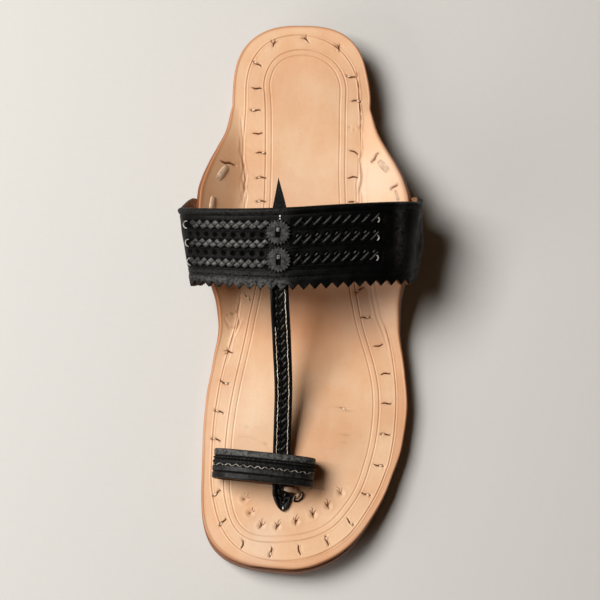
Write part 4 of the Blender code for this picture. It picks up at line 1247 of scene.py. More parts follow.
class SANDAL_OT_instep_band(bpy.types.Operator):
    """Black band over the instep: rolled rim, grooves, punched holes and pinked front edge"""
    bl_idname = "sandal.instep_band"
    bl_label = "Instep band"

    def execute(self, context):
        settings = context.scene.sandal_band
        half_length = np.linalg.norm(np.diff(band_side(BIG_TOE, 1.0, 40), axis=0), axis=1).sum()
        teeth = round(float(half_length) / TOOTH_PITCH)
        face = BandFace(teeth * TEETH_STEPS)
        columns = np.arange(2 * face.cells + 1)
        saw = np.abs((columns / TEETH_STEPS + 0.5) % 1 - 0.5) * 4 - 1
        shares = np.linspace(0, 1, 104)
        pinked = np.clip((shares - 0.92) / 0.08, 0, 1)[:, None]
        share = shares[:, None] + pinked * saw * TOOTH_DEPTH / 2 / BAND_WIDTH
        column = np.broadcast_to(columns, share.shape).astype(float)
        arc = (column - face.cells) / face.cells * np.where(
            column < face.cells, np.interp(share, face.shares, face.left),
            np.interp(share, face.shares, face.right))
        middle = face.arc_at(strap_side(0.0155), 0.019)
        relief, pits, rub = band_relief(arc, share * BAND_WIDTH, middle, settings)
        lift = BAND_WALL + relief
        back = np.clip(1 - share * BAND_WIDTH / 0.0009, 0, 1)
        front = np.clip(1 - (share[-1] - share) * BAND_WIDTH / 0.0005, 0, 1)
        lift -= 0.0006 * back ** 2 + 0.00025 * front ** 2
        outer = face.point(column, share, lift)
        inside_rows = share[::-8]
        if not np.allclose(inside_rows[-1], share[0]):
            inside_rows = np.concatenate((inside_rows, share[:1]))
        inner = face.point(column[:len(inside_rows)], inside_rows, np.zeros(inside_rows.shape))
        edge = BAND_WALL - 0.0006
        back_wall = face.point(column[:2], share[[0, 0]],
                               np.array((0.25, 0.7))[:, None] * edge + 0 * share[:2])
        back_wall[:, :, 1] += 0.00022
        front_wall = face.point(column[:1], share[-1:], np.full((1, len(columns)), 0.5 * edge))
        points = np.concatenate((inner, back_wall, outer, front_wall, inner[:1]))
        lining = np.zeros(points.shape[:2])
        lining[:len(inner)] = 1.0
        lining[-1] = 1.0
        lining[-2] = 0.75 * (arc[-1] > middle + 0.024)
        item = sheet("instep_band_wall", points)
        mark(item, "lining", lining)
        first = len(inner) + len(back_wall)
        for name, values in (("pit", pits), ("rub", rub)):
            whole = np.zeros(points.shape[:2])
            whole[first:first + len(outer)] = values
            mark(item, name, whole)
        close(item, fill_ends=True)
        material = black_leather("waxed black band leather", settings, 0.46, lining=True,
                                 wear_and_light=True, gloss=0.08)
        finish_piece(item, material, "black_leather", "instep_band", sharp=50)
        make_plaits(face, middle, settings)
        return {"FINISHED"}


def pillow(columns=7, rows=5, lozenge=False):
    """A cushion of lace: length along x and width along y from -1 to 1, height 0 to 1."""
    deselect()
    bpy.ops.mesh.primitive_grid_add(x_subdivisions=columns - 1, y_subdivisions=rows - 1, size=2)
    item = bpy.context.object
    corners = np.array([tuple(vertex.co) for vertex in item.data.vertices])
    faces = [tuple(polygon.vertices) for polygon in item.data.polygons]
    bpy.data.objects.remove(item, do_unlink=True)
    last = columns * rows - 1
    edge = list(range(columns)) + list(range(2 * columns - 1, last + 1, columns))
    edge += list(range(last - 1, last - columns, -1))
    edge += list(range(last - 2 * columns + 1, 0, -columns))
    faces.append(tuple(edge[::-1]))
    x, y = corners[:, 0], corners[:, 1]
    x, y = (np.sign(v) * np.abs(v) ** 0.75 for v in (x, y))
    height = (1 - x ** 6) ** 0.5 * (1 - y ** 6) ** 0.5 * (1 - 0.2 * (x * x + y * y))
    if lozenge:
        x, y = (x - y) / 2, (x + y) / 2
    return np.stack((x, y, height), -1), faces


def gather(name, copies, material, slot, **marks):
    """One finished piece of copies, each (points, faces), with its marks."""
    points, faces, start = [], [], 0
    for corners, sides in copies:
        points.append(corners)
        faces += [tuple(start + k for k in side) for side in sides]
        start += len(corners)
    points = np.concatenate(points) - np.array((BAND_MIDDLE, 0, 0))
    mesh = bpy.data.meshes.new(name)
    mesh.from_pydata(points.tolist(), [], faces)
    item = bpy.data.objects.new(name, mesh)
    bpy.context.scene.collection.objects.link(item)
    recalculate(item)
    for mark_name, values in marks.items():
        mark(item, mark_name, values)
    finish_piece(item, material, slot, sharp=80)


def tube(rings):
    """Points and faces of a closed tube through rings of points."""
    count, sides = rings.shape[:2]
    faces = [(r * sides + c, r * sides + (c + 1) % sides, (r + 1) * sides + (c + 1) % sides,
              (r + 1) * sides + c) for r in range(count - 1) for c in range(sides)]
    faces += [tuple(range(sides))[::-1], tuple((count - 1) * sides + c for c in range(sides))]
    return rings.reshape(-1, 3), faces


def cord(path, radius, sides=8):
    """A round cord along a path, closed at both ends, thinner towards them."""
    path = np.asarray(path)
    way = np.gradient(path, axis=0)
    way /= np.linalg.norm(way, axis=1)[:, None]
    across = np.cross(way, np.array((0.0, 0.0, 1.0)))
    across /= np.maximum(np.linalg.norm(across, axis=1), 1e-9)[:, None]
    up = np.cross(across, way)
    turns = np.linspace(0, 2 * math.pi, sides, endpoint=False)[None, :, None]
    steps = np.arange(len(path))
    size = radius * (0.4 + 0.3 * np.minimum(steps, steps[::-1]).clip(0, 2))[:, None, None]
    ring = np.cos(turns) * across[:, None] + np.sin(turns) * up[:, None]
    return tube(path[:, None] + ring * size)


# Crossings of the left rows: share of their pitch that one is long, its width, its offset
DIAMOND_SHARE, DIAMOND_WIDTH, DIAMOND_OFFSET = 0.565, 0.00195, 0.00082
# Strands of the right rows: length, width and slant
CROSSING = (0.0029, 0.00115, math.radians(-44))
SHORT_STRAND = (0.0018, 0.0009, math.radians(40))
HOLE_STRAND = (0.0008, 0.0003, math.radians(-48))


def make_plaits(face, middle, settings):
    """The plaited lace: two rows of crossings on the left, slanted crossings on the right."""
    diamond, diamond_faces = pillow(8, 8, lozenge=True)
    strip, strip_faces = pillow(10, 6)
    pitch, tall = settings.plait_pitch, settings.plait_height
    copies, rub, pit = [], [], []

    def lay(shape, faces, arc, down, length, width, turn, lift, lean):
        c, s = math.cos(turn), math.sin(turn)
        u, v = shape[:, 0] * length, shape[:, 1] * width
        raised = shape[:, 2] * tall * (1 + lean * shape[:, 0]) - 0.0003 + lift
        copies.append((face.over(arc + u * c - v * s, down + u * s + v * c, raised), faces))
        # Painted highlight on the lit upper facet of each crossing on the big-toe side, a painted
        # glint along one edge of the little-toe strands, painted shade in the low parts of
        # crossings
        facet = np.clip(0.62 - 0.75 * shape[:, 1], 0, 1) * shape[:, 2]
        ridge = 0.85 * bell(shape[:, 1] + 0.75, 0.1) * shape[:, 2] * (lift > 0)
        facet = 1.25 * facet * min(max((arc - PLAIT_LEFT) / 0.012, 0.3), 1.0)
        rub.extend(facet if arc < middle else ridge)
        pit.extend(np.clip(1.15 - 1.9 * shape[:, 2], 0, 1) * (arc < middle))

    for row, step in enumerate(PLAIT_PITCHES):
        count = int((middle - PLAIT_CLEAR - PLAIT_LEFT) / step * 2)
        for k in range(count):
            arc = middle - PLAIT_CLEAR + 0.0006 - step * (k + 0.5) / 2
            way = 1 if k % 2 else -1
            lay(diamond, diamond_faces, arc, PLAIT_LINES[0][row] + way * DIAMOND_OFFSET,
                step * DIAMOND_SHARE, DIAMOND_WIDTH, 0.05 * math.sin(2.1 * k + row),
                0.00012 * (k % 3), -0.2 * way)
        line = PLAIT_LINES[1][row]
        count = int((PLAIT_RIGHT - middle - PLAIT_CLEAR) / pitch)
        for k in range(count):
            arc = middle + PLAIT_CLEAR + pitch * (k + 0.5)
            lay(strip, strip_faces, arc, line, *CROSSING, 0.0001, 0.2)
            lay(strip, strip_faces, arc + pitch / 2, line + 0.0004, *SHORT_STRAND, -0.0004, 0.0)
            if row < 2:
                lay(strip, strip_faces, arc - 0.0006, HOLE_LINES[1][row], *HOLE_STRAND,
                    -0.0002, 0.0)
                # The short strands by the holes are painted pale as glints
                rub[-len(strip):] = [0.6] * len(strip)
    material = black_leather("black plaiting lace", settings, 0.36, wear_and_light=True, gloss=0.13)
    gather("band_plaits", copies, material, "black_leather", rub=rub, pit=pit)
    # The curled lace ends are pale grey, a painted glint on black lace
    copies = []
    for row in range(3):
        for arc, line, long, high in (
                (PLAIT_LEFT - 0.0004 + 0.0011 * row, PLAIT_LINES[0][row], -0.0030, 0.0019),
                (PLAIT_RIGHT - 0.0026, PLAIT_LINES[1][row] + 0.0004, 0.0010, 0.0012)):
            turns = np.linspace(-1.5, 1.5, 15)
            path = face.over(arc + long * np.cos(turns), line + 0.0003 + high * np.sin(turns),
                             (0.0007 if long > 0 else 0.0003) + 0 * turns)
            copies.append(cord(path, 0.00034))
    gather("lace_ends", copies, raw_leather("rubbed lace end", "#B9B5AE", "#6E6B66", 1.4),
           "black_leather")
    # Small white beads at the strap's tip and over the band's middle: partly thread, partly painted
    # glints
    copies = []
    tip = STRAP_END_Y + np.linspace(0.0010, 0.0024, 6)
    tip = np.stack((strap_side(STRAP_END_Y) + 0 * tip, tip,
                    float(seat_height(along_at(STRAP_END_Y))) + SEAM_GAP + 0.0022 + 0 * tip), -1)
    copies.append(cord(tip, 0.0004))
    for down, size in ((0.0039, 0.00052), (0.0052, 0.00036)):
        path = face.over(np.full(6, middle - 0.0001), down + np.linspace(-0.0005, 0.0005, 6),
                         np.full(6, 0.0003))
        copies.append(cord(path, size))
    gather("thread_and_glint_beads", copies, raw_leather("white thread and painted glints", "#F2EEE6", "#CFC8BC"),
           "black_leather")


def rosette_place(node):
    """Middle of a rosette, a little in front of its solid where it is the front one."""
    low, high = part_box(node)
    centre = (low + high) / 2 + Vector((BAND_MIDDLE - 0.0004, 0, 0))
    centre.y -= 0.0006 * (node == "rosette_front")
    return centre


class SANDAL_OT_rosettes(bpy.types.Operator):
    """Two pinked discs under the lock tabs"""
    bl_idname = "sandal.rosettes"
    bl_label = "Rosettes"

    def execute(self, context):
        settings = context.scene.sandal_band
        material = black_leather("dull black rosette leather", settings, 0.55, wear_and_light=True,
                                 gloss=0.13)
        turns = np.linspace(0, 2 * math.pi, ROSETTE_TEETH * TOOTH_COLUMNS + 1)
        saw = np.abs((turns * ROSETTE_TEETH / (2 * math.pi)) % 1 - 0.5) * 2
        shares = np.concatenate((np.linspace(0, 0.72, 16), np.linspace(TEETH_FROM, 1, 9)))
        radius = settings.rosette / 2
        for node in ("rosette_back", "rosette_front"):
            centre = rosette_place(node)
            step = 0.003
            slope_x = (band_top(centre.x + step, centre.y)
                       - band_top(centre.x - step, centre.y)) / (2 * step)
            slope_y = (band_top(centre.x, centre.y + step)
                       - band_top(centre.x, centre.y - step)) / (2 * step)
            up = Vector((-slope_x, -slope_y, 1)).normalized()
            across = Vector((0, 1, 0)).cross(up).normalized()
            turn = Matrix((across, up.cross(across), up)).transposed()
            r = shares[:, None] * radius * np.ones_like(turns)
            r -= np.clip((shares[:, None] - TEETH_FROM) / 0.24, 0, 1) * saw * TEETH_DEPTH
            x, y = r * np.cos(turns), 1.02 * r * np.sin(turns)
            slot = np.maximum(np.abs(x) / ROSETTE_SLOT[0], np.abs(y) / ROSETTE_SLOT[1])
            slot = falloff(slot - 1, 0.06)
            cuts = bell(saw - 1, 0.4) * np.clip((shares[:, None] - TEETH_FROM) / 0.12, 0, 1)
            z = 0.0012 - 0.0009 * slot - 0.00025 * cuts
            z += 0.00008 * np.sin(3 * turns + 0.6) * shares[:, None]
            z -= 0.0004 * np.clip((shares[:, None] - 0.85) / 0.15, 0, 1) ** 2
            z += 0.00010 * bell(r - radius * 0.45, 0.0009)
            top = np.stack((x, y, z - ROSETTE_FOOT), -1)
            base = np.stack((x, y, 0 * x - ROSETTE_FOOT), -1)
            rows = np.concatenate((base[[0, 12, -1]], top[::-1]))
            points = rows @ np.array(turn).T + np.array(centre)
            item = sheet(f"{node}_leather", points)
            # The slot is painted shade; the disc is grey with rub and painted sheen
            for name, values in (("pit", slot), ("rub", 0.42 * (1 - slot))):
                mark(item, name, np.concatenate((values[[0, 12, -1]], values[::-1])))
            close(item)
            recalculate(item)
            finish_piece(item, material, "black_leather", node, sharp=45)
        return {"FINISHED"}


# Section from the big-toe edge: share of the half width, height over the under face
STRAP_SECTION = (
    (-0.94, 0.0), (-1.0, 0.0005), (-1.0, 0.0013), (-0.93, 0.0018), (-0.80, 0.0020),
    (-0.66, 0.0019), (-0.56, 0.0014), (-0.3, 0.0013), (0.3, 0.0013), (0.56, 0.0014),
    (0.66, 0.0019), (0.80, 0.0020), (0.93, 0.0018), (1.0, 0.0013), (1.0, 0.0005),
    (0.94, 0.0), (-0.94, 0.0))
# Crossings of its lace: pitch, half length and half width, offset, slant
LACE_PITCH, LACE_SIZE, LACE_OFFSET = 0.0017, (0.0019, 0.00085), 0.0010
LACE_SLANT = math.radians(50)


class SANDAL_OT_centre_strap(bpy.types.Operator):
    """Centre strap with its plaited core, raw edges, pointed tail and lock tabs"""
    bl_idname = "sandal.centre_strap"
    bl_label = "Centre strap"

    def execute(self, context):
        settings = context.scene.sandal_band
        back, front = band_y(BIG_TOE, "top", 0), band_y(BIG_TOE, "top", 1)
        start = back + TAIL_LENGTH
        places = list(np.linspace(start, STRAP_END_Y + STRAP_ROUNDING, 300))
        places += [STRAP_END_Y + STRAP_ROUNDING * (1 - math.sin(k * math.pi / 48))
                   for k in range(1, 25)]
        places = np.array(places)
        side = np.array([strap_side(y) for y in places])
        half = np.array([strap_half_width(y) for y in places])
        tail = places > back
        half[tail] = strap_half_width(back) * (start - places[tail]) / TAIL_LENGTH
        bottom = np.array([strap_bottom(y) for y in places])
        slope = np.gradient(bottom, places)
        normal = np.stack((0 * slope, -slope, np.ones_like(slope)), -1)
        normal /= np.linalg.norm(normal, axis=1)[:, None]
        base = np.stack((side, places, bottom), -1)
        thin = np.clip((start - places) / 0.006, 0.25, 1)[:, None]
        sunk = np.clip((places - front) / 0.002, 0, 1)[:, None]
        rows = []
        for share, height in STRAP_SECTION:
            level = mix(height, STRAP_WALL if height > 0.001 else height, sunk) * thin
            point = base + normal * level
            point[:, 0] += share * half
            rows.append(point)
        item = sheet("centre_strap_leather", np.array(rows)[::-1])
        close(item, fill_ends=True)
        finish_piece(item, black_leather("black strap leather", settings, 0.40), "black_leather",
                     "centre_strap", sharp=50)
        at = self.reader(places, half, base, normal)
        self.plait(settings, at, places, half, front)
        self.raw_edges(at, front)
        self.tabs()
        return {"FINISHED"}

    def reader(self, places, half, base, normal):
        """Reads a point of the strap by its y, share of the half width and height."""
        order = np.argsort(places)

        def at(y, share, lift):
            point = np.stack([np.interp(y, places[order], base[order, k]) for k in range(3)], -1)
            up = np.stack([np.interp(y, places[order], normal[order, k]) for k in range(3)], -1)
            point = point + up * np.asarray(lift)[..., None]
            point[..., 0] += share * np.interp(y, places[order], half[order])
            return point

        return at

    def plait(self, settings, at, places, half, front):
        """Crossed lace down the middle, each crossing one cushion."""
        shape, faces = pillow(8, 6)
        copies, number, y = [], 0, front - 0.0008
        c, s = math.cos(LACE_SLANT), math.sin(LACE_SLANT)
        u, v = shape[:, 0] * LACE_SIZE[0], shape[:, 1] * LACE_SIZE[1]
        while y > STRAP_END_Y + 0.0032:
            way = -1 if number % 2 else 1
            across = way * (LACE_OFFSET + u * c - v * s)
            width = max(float(np.interp(y, places[::-1], half[::-1])), 0.002)
            fit = min(1.0, width / 0.0042)
            copies.append((at(y + u * s + v * c, across * fit / width,
                              0.0011 + shape[:, 2] * 0.0011), faces))
            y -= LACE_PITCH
            number += 1
        pale = np.concatenate([(shape[:, 1] > 0.9) * (1.0 - 0.6 * (k % 2)) * abs(math.sin(k * 2.4))
                               for k in range(len(copies))])
        gather("strap_plait", copies, black_leather("black strap lace", settings, 0.34, raw=True),
               "black_leather", raw=pale)

    def raw_edges(self, at, front):
        """The cream cut edges that show on both sides of the plait."""
        copies = []
        for way, start in ((-1, -0.020), (1, front - 0.0005)):
            y = np.linspace(start, LOOP_Y - LOOP_WIDTH / 2 + 0.001, 260)
            wave = 0.025 * np.sin(y * 850 + way) + 0.022 * np.sin(y * 2900)
            beads = 0.00012 * np.sin(y * 5200 + way)
            rows = [at(y, way * (0.60 + wave) + off, lift + beads) for off, lift in
                    ((-0.032, 0.0012), (-0.028, 0.0021), (0.028, 0.0022), (0.032, 0.0013))]
            copies.append(tube(np.array(rows).swapaxes(0, 1)))
        gather("strap_raw_edges", copies,
               raw_leather("raw cut leather edge", "#FBF1DF", "#A08A6C", 1.6), "sole_leather")

    def tabs(self):
        """The two ends of lace that lock the rosettes."""
        copies = []
        shape, faces = pillow(7, 9)
        for node in ("rosette_back", "rosette_front"):
            centre = rosette_place(node)
            c, s = math.cos(band_lean()), math.sin(band_lean())
            u, v, w = shape[:, 0] * 0.0010, shape[:, 1] * 0.0011 + 0.0014, shape[:, 2] * 0.0016
            points = np.stack((centre.x + u, centre.y + v * c - w * s,
                               centre.z - 0.0004 + v * s + w * c), -1)
            copies.append((points, faces))
        # The tabs' pale grey is a painted glint on black lace
        gather("lock_tabs", copies, raw_leather("rubbed black tab", "#8C8A86", "#4A4947"),
               "black_leather")


LOOP_GROOVES = (0.0036, 0.0051, 0.0114)
LOOP_STITCHES = 0.0079
LOOP_ROPES, ROPE_PITCH = (0.0044, 0.0064), 0.0022
# Stitches of the loop: how many on each side of the middle, step, half length and half width
LOOP_STITCH_COUNT, LOOP_STITCH_STEP, LOOP_STITCH_SIZE = 13, 0.00175, (0.00105, 0.00026)
LOOP_STITCH_SLANT = math.radians(38)


def loop_face(turns, share, out):
    """Points of the ring at a share of its width, a distance outside its inner face."""
    long, tall = LOOP_LENGTH / 2 - LOOP_WALL, LOOP_HEIGHT / 2 - LOOP_WALL

    def oval(turn):
        power = np.where(np.sin(turn) > 0, 2.4, 5.0)
        return (long * np.copysign(np.abs(np.cos(turn)) ** (2 / power), np.cos(turn)),
                tall * np.copysign(np.abs(np.sin(turn)) ** (2 / power), np.sin(turn)))

    a, c = oval(turns)
    (a0, c0), (a1, c1) = oval(turns - 0.01), oval(turns + 0.01)
    size = np.maximum(np.hypot(a1 - a0, c1 - c0), 1e-9)
    a, c = a + out * (c1 - c0) / size, c - out * (a1 - a0) / size
    b = LOOP_WIDTH * share
    x = LOOP_SIDE + a * math.cos(LOOP_TURN) - b * math.sin(LOOP_TURN)
    y = LOOP_Y + a * math.sin(LOOP_TURN) + b * math.cos(LOOP_TURN)
    return np.stack((x, y, seat_height(along_at(y)) + SEAM_GAP + LOOP_HEIGHT / 2 + c), -1)


class SANDAL_OT_toe_loop(bpy.types.Operator):
    """Loop round the big toe, with three grooves and a row of slanted stitches"""
    bl_idname = "sandal.toe_loop"
    bl_label = "Toe loop"

    def execute(self, context):
        settings = context.scene.sandal_band
        turns = np.linspace(0, 2 * math.pi, 221)
        shares = np.linspace(-0.5, 0.5, 64)
        downs = (0.5 - shares) * LOOP_WIDTH
        twist = turns * LOOP_LENGTH / 2 / ROPE_PITCH * 2 * math.pi

        def ring(share, out):
            return loop_face(turns, share, out)

        def relief(share):
            down = (0.5 - share) * LOOP_WIDTH
            height = 0.00010 * np.sin(3 * turns + 9 * share) + 0.00008 * np.sin(11 * turns)
            for line in LOOP_GROOVES:
                height = height - 0.0006 * bell(down - line, 0.00028)
            height = height - 0.00030 * bell(down - LOOP_STITCHES, 0.0006)
            rope = np.sin(twist + 5 * down / 0.0014)
            for line in LOOP_ROPES:
                height = height + (0.00016 + 0.00026 * rope) * bell(down - line, 0.0006)
            height = height + 0.00012 * bell(down - 0.0092, 0.0009)
            edge = min(down, LOOP_WIDTH - down) / 0.0007
            if edge < 1:
                height = height - 0.0007 * (1 - math.sqrt(1 - (1 - edge) ** 2))
            return height

        points = [ring(share, 0.0) for share in np.linspace(0.5, -0.5, 9)]
        points += [ring(-0.5, LOOP_WALL * 0.5)]
        points += [ring(share, LOOP_WALL + relief(share)) for share in shares]
        points += [ring(0.5, LOOP_WALL * 0.5), ring(0.5, 0.0)]
        points = np.array(points)
        lining, rub, pit = np.zeros((3, *points.shape[:2]))
        lining[:9] = 1.0
        lining[-1] = 1.0
        # The top band's grey is partly rub, partly painted sheen; pits are painted shade in the
        # grooves, the stitch line and under the rope twists
        wear_and_light = 0.66 * bell(shares - 0.38, 0.12) + 0.07 + 0.12 * bell(shares + 0.2, 0.1)
        rub[10:-2] = wear_and_light[:, None]
        for line in LOOP_ROPES:
            strands = bell(downs - line, 0.0006)[:, None]
            pit[10:-2] += 0.7 * strands * np.clip(-np.sin(twist), 0, 1)
        for line in (*LOOP_GROOVES, LOOP_STITCHES):
            pit[10:-2] += bell(downs - line, 0.0004)[:, None]
        item = sheet("toe_loop_leather", points)
        mark(item, "lining", lining)
        mark(item, "rub", rub)
        mark(item, "pit", np.clip(pit, 0, 1))
        close(item)
        recalculate(item)
        material = black_leather("black loop leather", settings, 0.42, lining=True, wear_and_light=True,
                                 gloss=0.15)
        finish_piece(item, material, "black_leather", "toe_loop", sharp=50)
        shape, faces = pillow(9, 5)
        copies, long = [], LOOP_LENGTH / 2 - LOOP_WALL
        u, v = shape[:, 0] * LOOP_STITCH_SIZE[0], shape[:, 1] * LOOP_STITCH_SIZE[1]
        for k in range(-LOOP_STITCH_COUNT, LOOP_STITCH_COUNT + 1):
            slant = LOOP_STITCH_SLANT if k % 2 else -LOOP_STITCH_SLANT
            x = k * LOOP_STITCH_STEP + u * math.cos(slant) - v * math.sin(slant)
            down = LOOP_STITCHES + u * math.sin(slant) + v * math.cos(slant)
            turn = np.arccos(np.sign(x) * np.minimum(np.abs(x) / long, 0.995) ** 1.2)
            lift = LOOP_WALL - 0.0003 + 0.00035 * shape[:, 2]
            points = loop_face(turn, 0.5 - down / LOOP_WIDTH, lift)
            copies.append((points, faces))
        gather("loop_stitches", copies,
               raw_leather("waxed grey thread", "#BDB6A8", "#4A4740", 2.0), "black_leather")
        return {"FINISHED"}


def ribbon(start, end, width, height):
    """A strip of thong laid on the seat between two places in plan, given in mm."""
    count = 12
    a, b = np.array(start) / 1000, np.array(end) / 1000
    run = np.linspace(0, 1, count)[:, None]
    off = np.array((-1.0, -0.7, 0.0, 0.7, 1.0, 0.9, 0.0, -0.9))[None, :]
    top = np.array((0.25, 0.9, 1.0, 0.9, 0.25, -1.0, -1.0, -1.0))[None, :]
    way = (b - a) / np.linalg.norm(b - a)
    narrow = width / 2000 * np.sin(np.pi * np.clip(run * 0.8 + 0.1, 0, 1)) ** 0.25
    x = mix(a[0], b[0], run) - way[1] * off * narrow
    y = mix(a[1], b[1], run) + way[0] * off * narrow
    face, normal = sole_frame(x, y)
    arch = np.sin(np.pi * np.clip(run * 0.9 + 0.05, 0, 1)) ** 0.4
    rise = np.where(top > 0, height / 1000 * top * arch - 0.0001, -0.0004)
    return tube(face + normal * rise[..., None])


def opening(x, y, size, height):
    """A dark opening of the seat: a thin closed strip along places in plan, its darkness painted
    shade.
    """
    way = np.gradient(np.stack((x, y), -1), axis=0)
    way /= np.linalg.norm(way, axis=1)[:, None]
    off, drop = np.array((-1.0, 0.0, 1.0, 0.0)), np.array((0.0, 0.00004, 0.0, -0.0003))
    across = size[:, None] * off
    face, normal = sole_frame(x[:, None] - way[:, 1:] * across, y[:, None] + way[:, :1] * across)
    return tube(face + normal * (height[:, None] + drop)[..., None])


def stitch_opening(cx, cy, angle, length, eye, wide):
    run = np.linspace(-0.5, 0.5, 13) * length
    off = -WAVER * np.sin(run * WAVES + cx)
    open_share = np.clip(0.5 + eye * run / length, 0, 1) ** 2 * abs(eye)
    taper = np.cos(np.linspace(-1.4, 1.4, 13)) ** 0.5
    middle = bell(run / length, 0.22) * (1 - abs(eye))
    c, s = math.cos(angle), math.sin(angle)
    return opening(cx / 1000 + run * c - off * s, cy / 1000 + run * s + off * c,
                   wide * (0.00020 + 0.00020 * middle + 0.00010 * open_share) * taper,
                   np.full(13, -0.00016))


def crow_feet(number, cx, cy):
    """The fine folds that a dimple pulls into the leather round it, as thin strips of painted
    shade.
    """
    rays, toward = [], math.atan2(-60 - cy, 6 - cx)
    for lean, reach in ((-0.58, 3.0), (0.1 * (number % 3 - 1), 4.2), (0.55, 3.0), (2.9, 1.8)):
        run = np.linspace(0.0002, reach / 1000, 9)
        angle = toward + lean + 0.12 * np.sin(run * 1900 + number)
        size = 0.00030 * np.linspace(1.0, 0.2, 9)
        rays.append(opening(cx / 1000 + run * np.cos(angle), cy / 1000 + run * np.sin(angle),
                            size, dimple_height(run) + 0.00005))
    return rays


class SANDAL_OT_thongs(bpy.types.Operator):
    """Pale thongs of the ears, openings and lace of the stitches, and the folded end"""
    bl_idname = "sandal.thongs"
    bl_label = "Thongs and stitches"

    def execute(self, context):
        copies = [ribbon((x0, y0), (x1, y1), width, height)
                  for x0, y0, x1, y1, width, height in EAR_THONGS]
        material = raw_leather("pale thong leather", "#E0C6AE", "#C4A286", 2.2)
        gather("ear_thongs", copies, material, "tan_leather")
        gather("folded_thong", self.folded(), material, "tan_leather")
        base = float(seat_height(along_at(-0.102)))
        path = [(8.4, -99.9, 1.6), (9.0, -101.4, 1.3), (8.2, -103.4, 1.1), (6.4, -104.9, 1.1),
                (4.4, -105.0, 1.2), (4.6, -103.4, 1.5), (5.2, -102.2, 1.6)]
        path = resample([Vector(p) / 1000 + Vector((0, 0, base)) for p in path], 24)
        gather("thong_lace", [cord(path, 0.00042)],
               black_leather("black thong lace", context.scene.sandal_band), "black_leather")
        laces, openings = [], []
        for cx, cy, turn, kind in STITCHES:
            angle, eye = stitch_angle(cx, cy, turn), EYES.get(kind, 0)
            if kind not in ("slit", "fork"):
                way = np.array((math.cos(angle), math.sin(angle)))
                centre = np.array((cx, cy)) + way * 1.1 * eye
                laces.append(ribbon(centre - way * 0.8, centre + way * 0.7, 0.72, 0.5))
            size = 0.75 if kind in SMALL_STITCHES else 1.0
            length = context.scene.sandal_sole.stitch_length * size
            openings.append(stitch_opening(cx, cy, angle, length, eye, size))
        gather("stitch_lace", laces, raw_leather("stitch lace", "#FFF3DF", "#E6C39A", 1.6),
               "tan_leather")
        gather("stitch_openings", openings, raw_leather("shadowed slit", "#7A4424", "#4A2614"),
               "tan_leather")
        folds = [ray for number, place in enumerate(DIMPLES) for ray in crow_feet(number, *place)]
        gather("dimple_folds", folds, raw_leather("painted shade of creases", "#8C5636", "#5F361F"),
               "tan_leather")
        return {"FINISHED"}

    def folded(self):
        """The thong end that comes out over the strap's edge in front of the loop."""
        seat = float(seat_height(along_at(-0.099)))
        strips = []
        for path, width in ((((-0.8, -98.9, 6.5), (2.6, -99.4, 6.5), (5.0, -99.9, 4.4),
                              (7.6, -100.6, 1.0)), 3.0),
                            (((7.0, -100.0, 1.8), (5.8, -102.4, 1.3), (3.6, -104.4, 0.8)), 1.8),
                            (((-12.0, -96.9, 2.4), (-3.5, -98.0, 3.0), (5.5, -98.6, 2.4)), 1.7)):
            line = np.array(path) / 1000 + np.array((0, 0, seat))
            line = resample([Vector(p) for p in line], 9)
            way = np.gradient(line, axis=0)
            way /= np.linalg.norm(way, axis=1)[:, None]
            across = np.cross(way, (0.0, 0.0, 1.0))
            size = width / 2000 * np.sin(np.linspace(0.35, math.pi - 0.35, len(line))) ** 0.5
            rings = [line + across * (off * size)[:, None] + np.array((0, 0, high))
                     for off, high in ((-1, 0.0), (-0.8, 0.00035), (0.8, 0.00035), (1, 0.0),
                                       (0.8, -0.0004), (-0.8, -0.0004))]
            strips.append(tube(np.array(rings).swapaxes(0, 1)))
        return strips


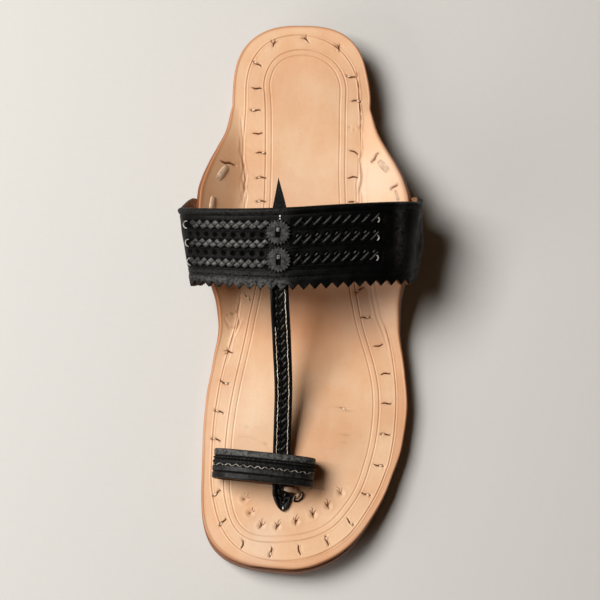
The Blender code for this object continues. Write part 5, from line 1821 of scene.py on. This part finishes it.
class SANDAL_OT_stage(bpy.types.Operator):
    """Pale floor, large soft light and the camera over the sandal"""
    bl_idname = "sandal.stage"
    bl_label = "Stage"

    def execute(self, context):
        settings = context.scene.sandal_stage
        scene = context.scene
        deselect()
        bpy.ops.mesh.primitive_plane_add(size=6, location=(0, 0, -0.0002))
        floor = context.object
        floor.name = "studio_floor"
        bpy.ops.object.transform_apply(location=True, rotation=True, scale=True)
        material, tree, shader, place = new_material("matt studio paper")
        shown = patches(tree, place, 3, 3, 0.3, 0.7, 0, 0.10)
        connect(tree, shader, {"Base Color": paint(tree, settings.floor, [(shown, "#C9C3BA")]),
                               "Roughness": 0.9, "Specular IOR Level": 0.2})
        floor.data.materials.append(material)
        self.add_light("soft key", settings.key_power, KEY_PLACE, KEY_SIZE, "#FFFDFA")
        self.add_light("left window", settings.side_power, SIDE_PLACE, SIDE_SIZE, "#FFFFFF")
        world = bpy.data.worlds.new("studio")
        scene.world = world
        world.use_nodes = True
        back = world.node_tree.nodes["Background"]
        back.inputs[0].default_value = (*linear("#FFCF9E"), 1)
        back.inputs[1].default_value = settings.fill

        tilt, roll = math.radians(CAMERA_TILT), math.radians(CAMERA_ROLL)
        back_way = Vector((0, -math.sin(tilt), math.cos(tilt)))
        up = Vector((0, math.cos(tilt), math.sin(tilt)))
        right = Vector((1, 0, 0))
        turned_right = right * math.cos(roll) + up * math.sin(roll)
        turned_up = up * math.cos(roll) - right * math.sin(roll)
        lens = bpy.data.cameras.new("camera")
        lens.lens, lens.sensor_width = LENS_MM, 36.0
        camera = bpy.data.objects.new("camera", lens)
        scene.collection.objects.link(camera)
        stand = Vector(CAMERA_TARGET) + back_way * CAMERA_DISTANCE
        turn = Matrix((turned_right, turned_up, back_way)).transposed()
        camera.matrix_world = Matrix.Translation(stand) @ turn.to_4x4()
        scene.camera = camera
        scene.view_settings.view_transform = "Standard"
        return {"FINISHED"}

    def add_light(self, name, watts, place, size, tint):
        """A soft rectangle of light that looks at the sandal."""
        light = bpy.data.lights.new(name, "AREA")
        light.shape = "RECTANGLE"
        light.size, light.size_y = size
        light.energy, light.color = watts, linear(tint)
        item = bpy.data.objects.new(name, light)
        bpy.context.scene.collection.objects.link(item)
        item.location = place
        item.rotation_euler = (-item.location).to_track_quat("-Z", "Y").to_euler()


class SANDAL_PT_panel(bpy.types.Panel):
    """Sizes and colours of the sandal"""
    bl_idname = "SANDAL_PT_panel"
    bl_label = "Sandal"
    bl_space_type = "VIEW_3D"
    bl_region_type = "UI"
    bl_category = "Sandal"

    def draw(self, context):
        for group in ("sandal_sole", "sandal_band", "sandal_stage"):
            settings = getattr(context.scene, group)
            box = self.layout.box()
            for name in settings.__annotations__:
                box.prop(settings, name)
        for operator in OPERATORS:
            self.layout.operator(operator.bl_idname)


OPERATORS = (SANDAL_OT_seat, SANDAL_OT_outsole, SANDAL_OT_heel_lift, SANDAL_OT_instep_band,
             SANDAL_OT_rosettes, SANDAL_OT_centre_strap, SANDAL_OT_toe_loop,
             SANDAL_OT_thongs, SANDAL_OT_stage)
CLASSES = (SoleSettings, BandSettings, StageSettings, *OPERATORS, SANDAL_PT_panel)
GROUPS = {"sandal_sole": SoleSettings, "sandal_band": BandSettings,
          "sandal_stage": StageSettings}


def register():
    for item in CLASSES:
        bpy.utils.register_class(item)
    for name, group in GROUPS.items():
        setattr(bpy.types.Scene, name, bpy.props.PointerProperty(type=group))


def unregister():
    for name in GROUPS:
        delattr(bpy.types.Scene, name)
    for item in reversed(CLASSES):
        bpy.utils.unregister_class(item)


def main():
    register()
    for operator in OPERATORS:
        getattr(bpy.ops.sandal, operator.bl_idname.split(".")[1])()


if __name__ == "__main__":
    main()
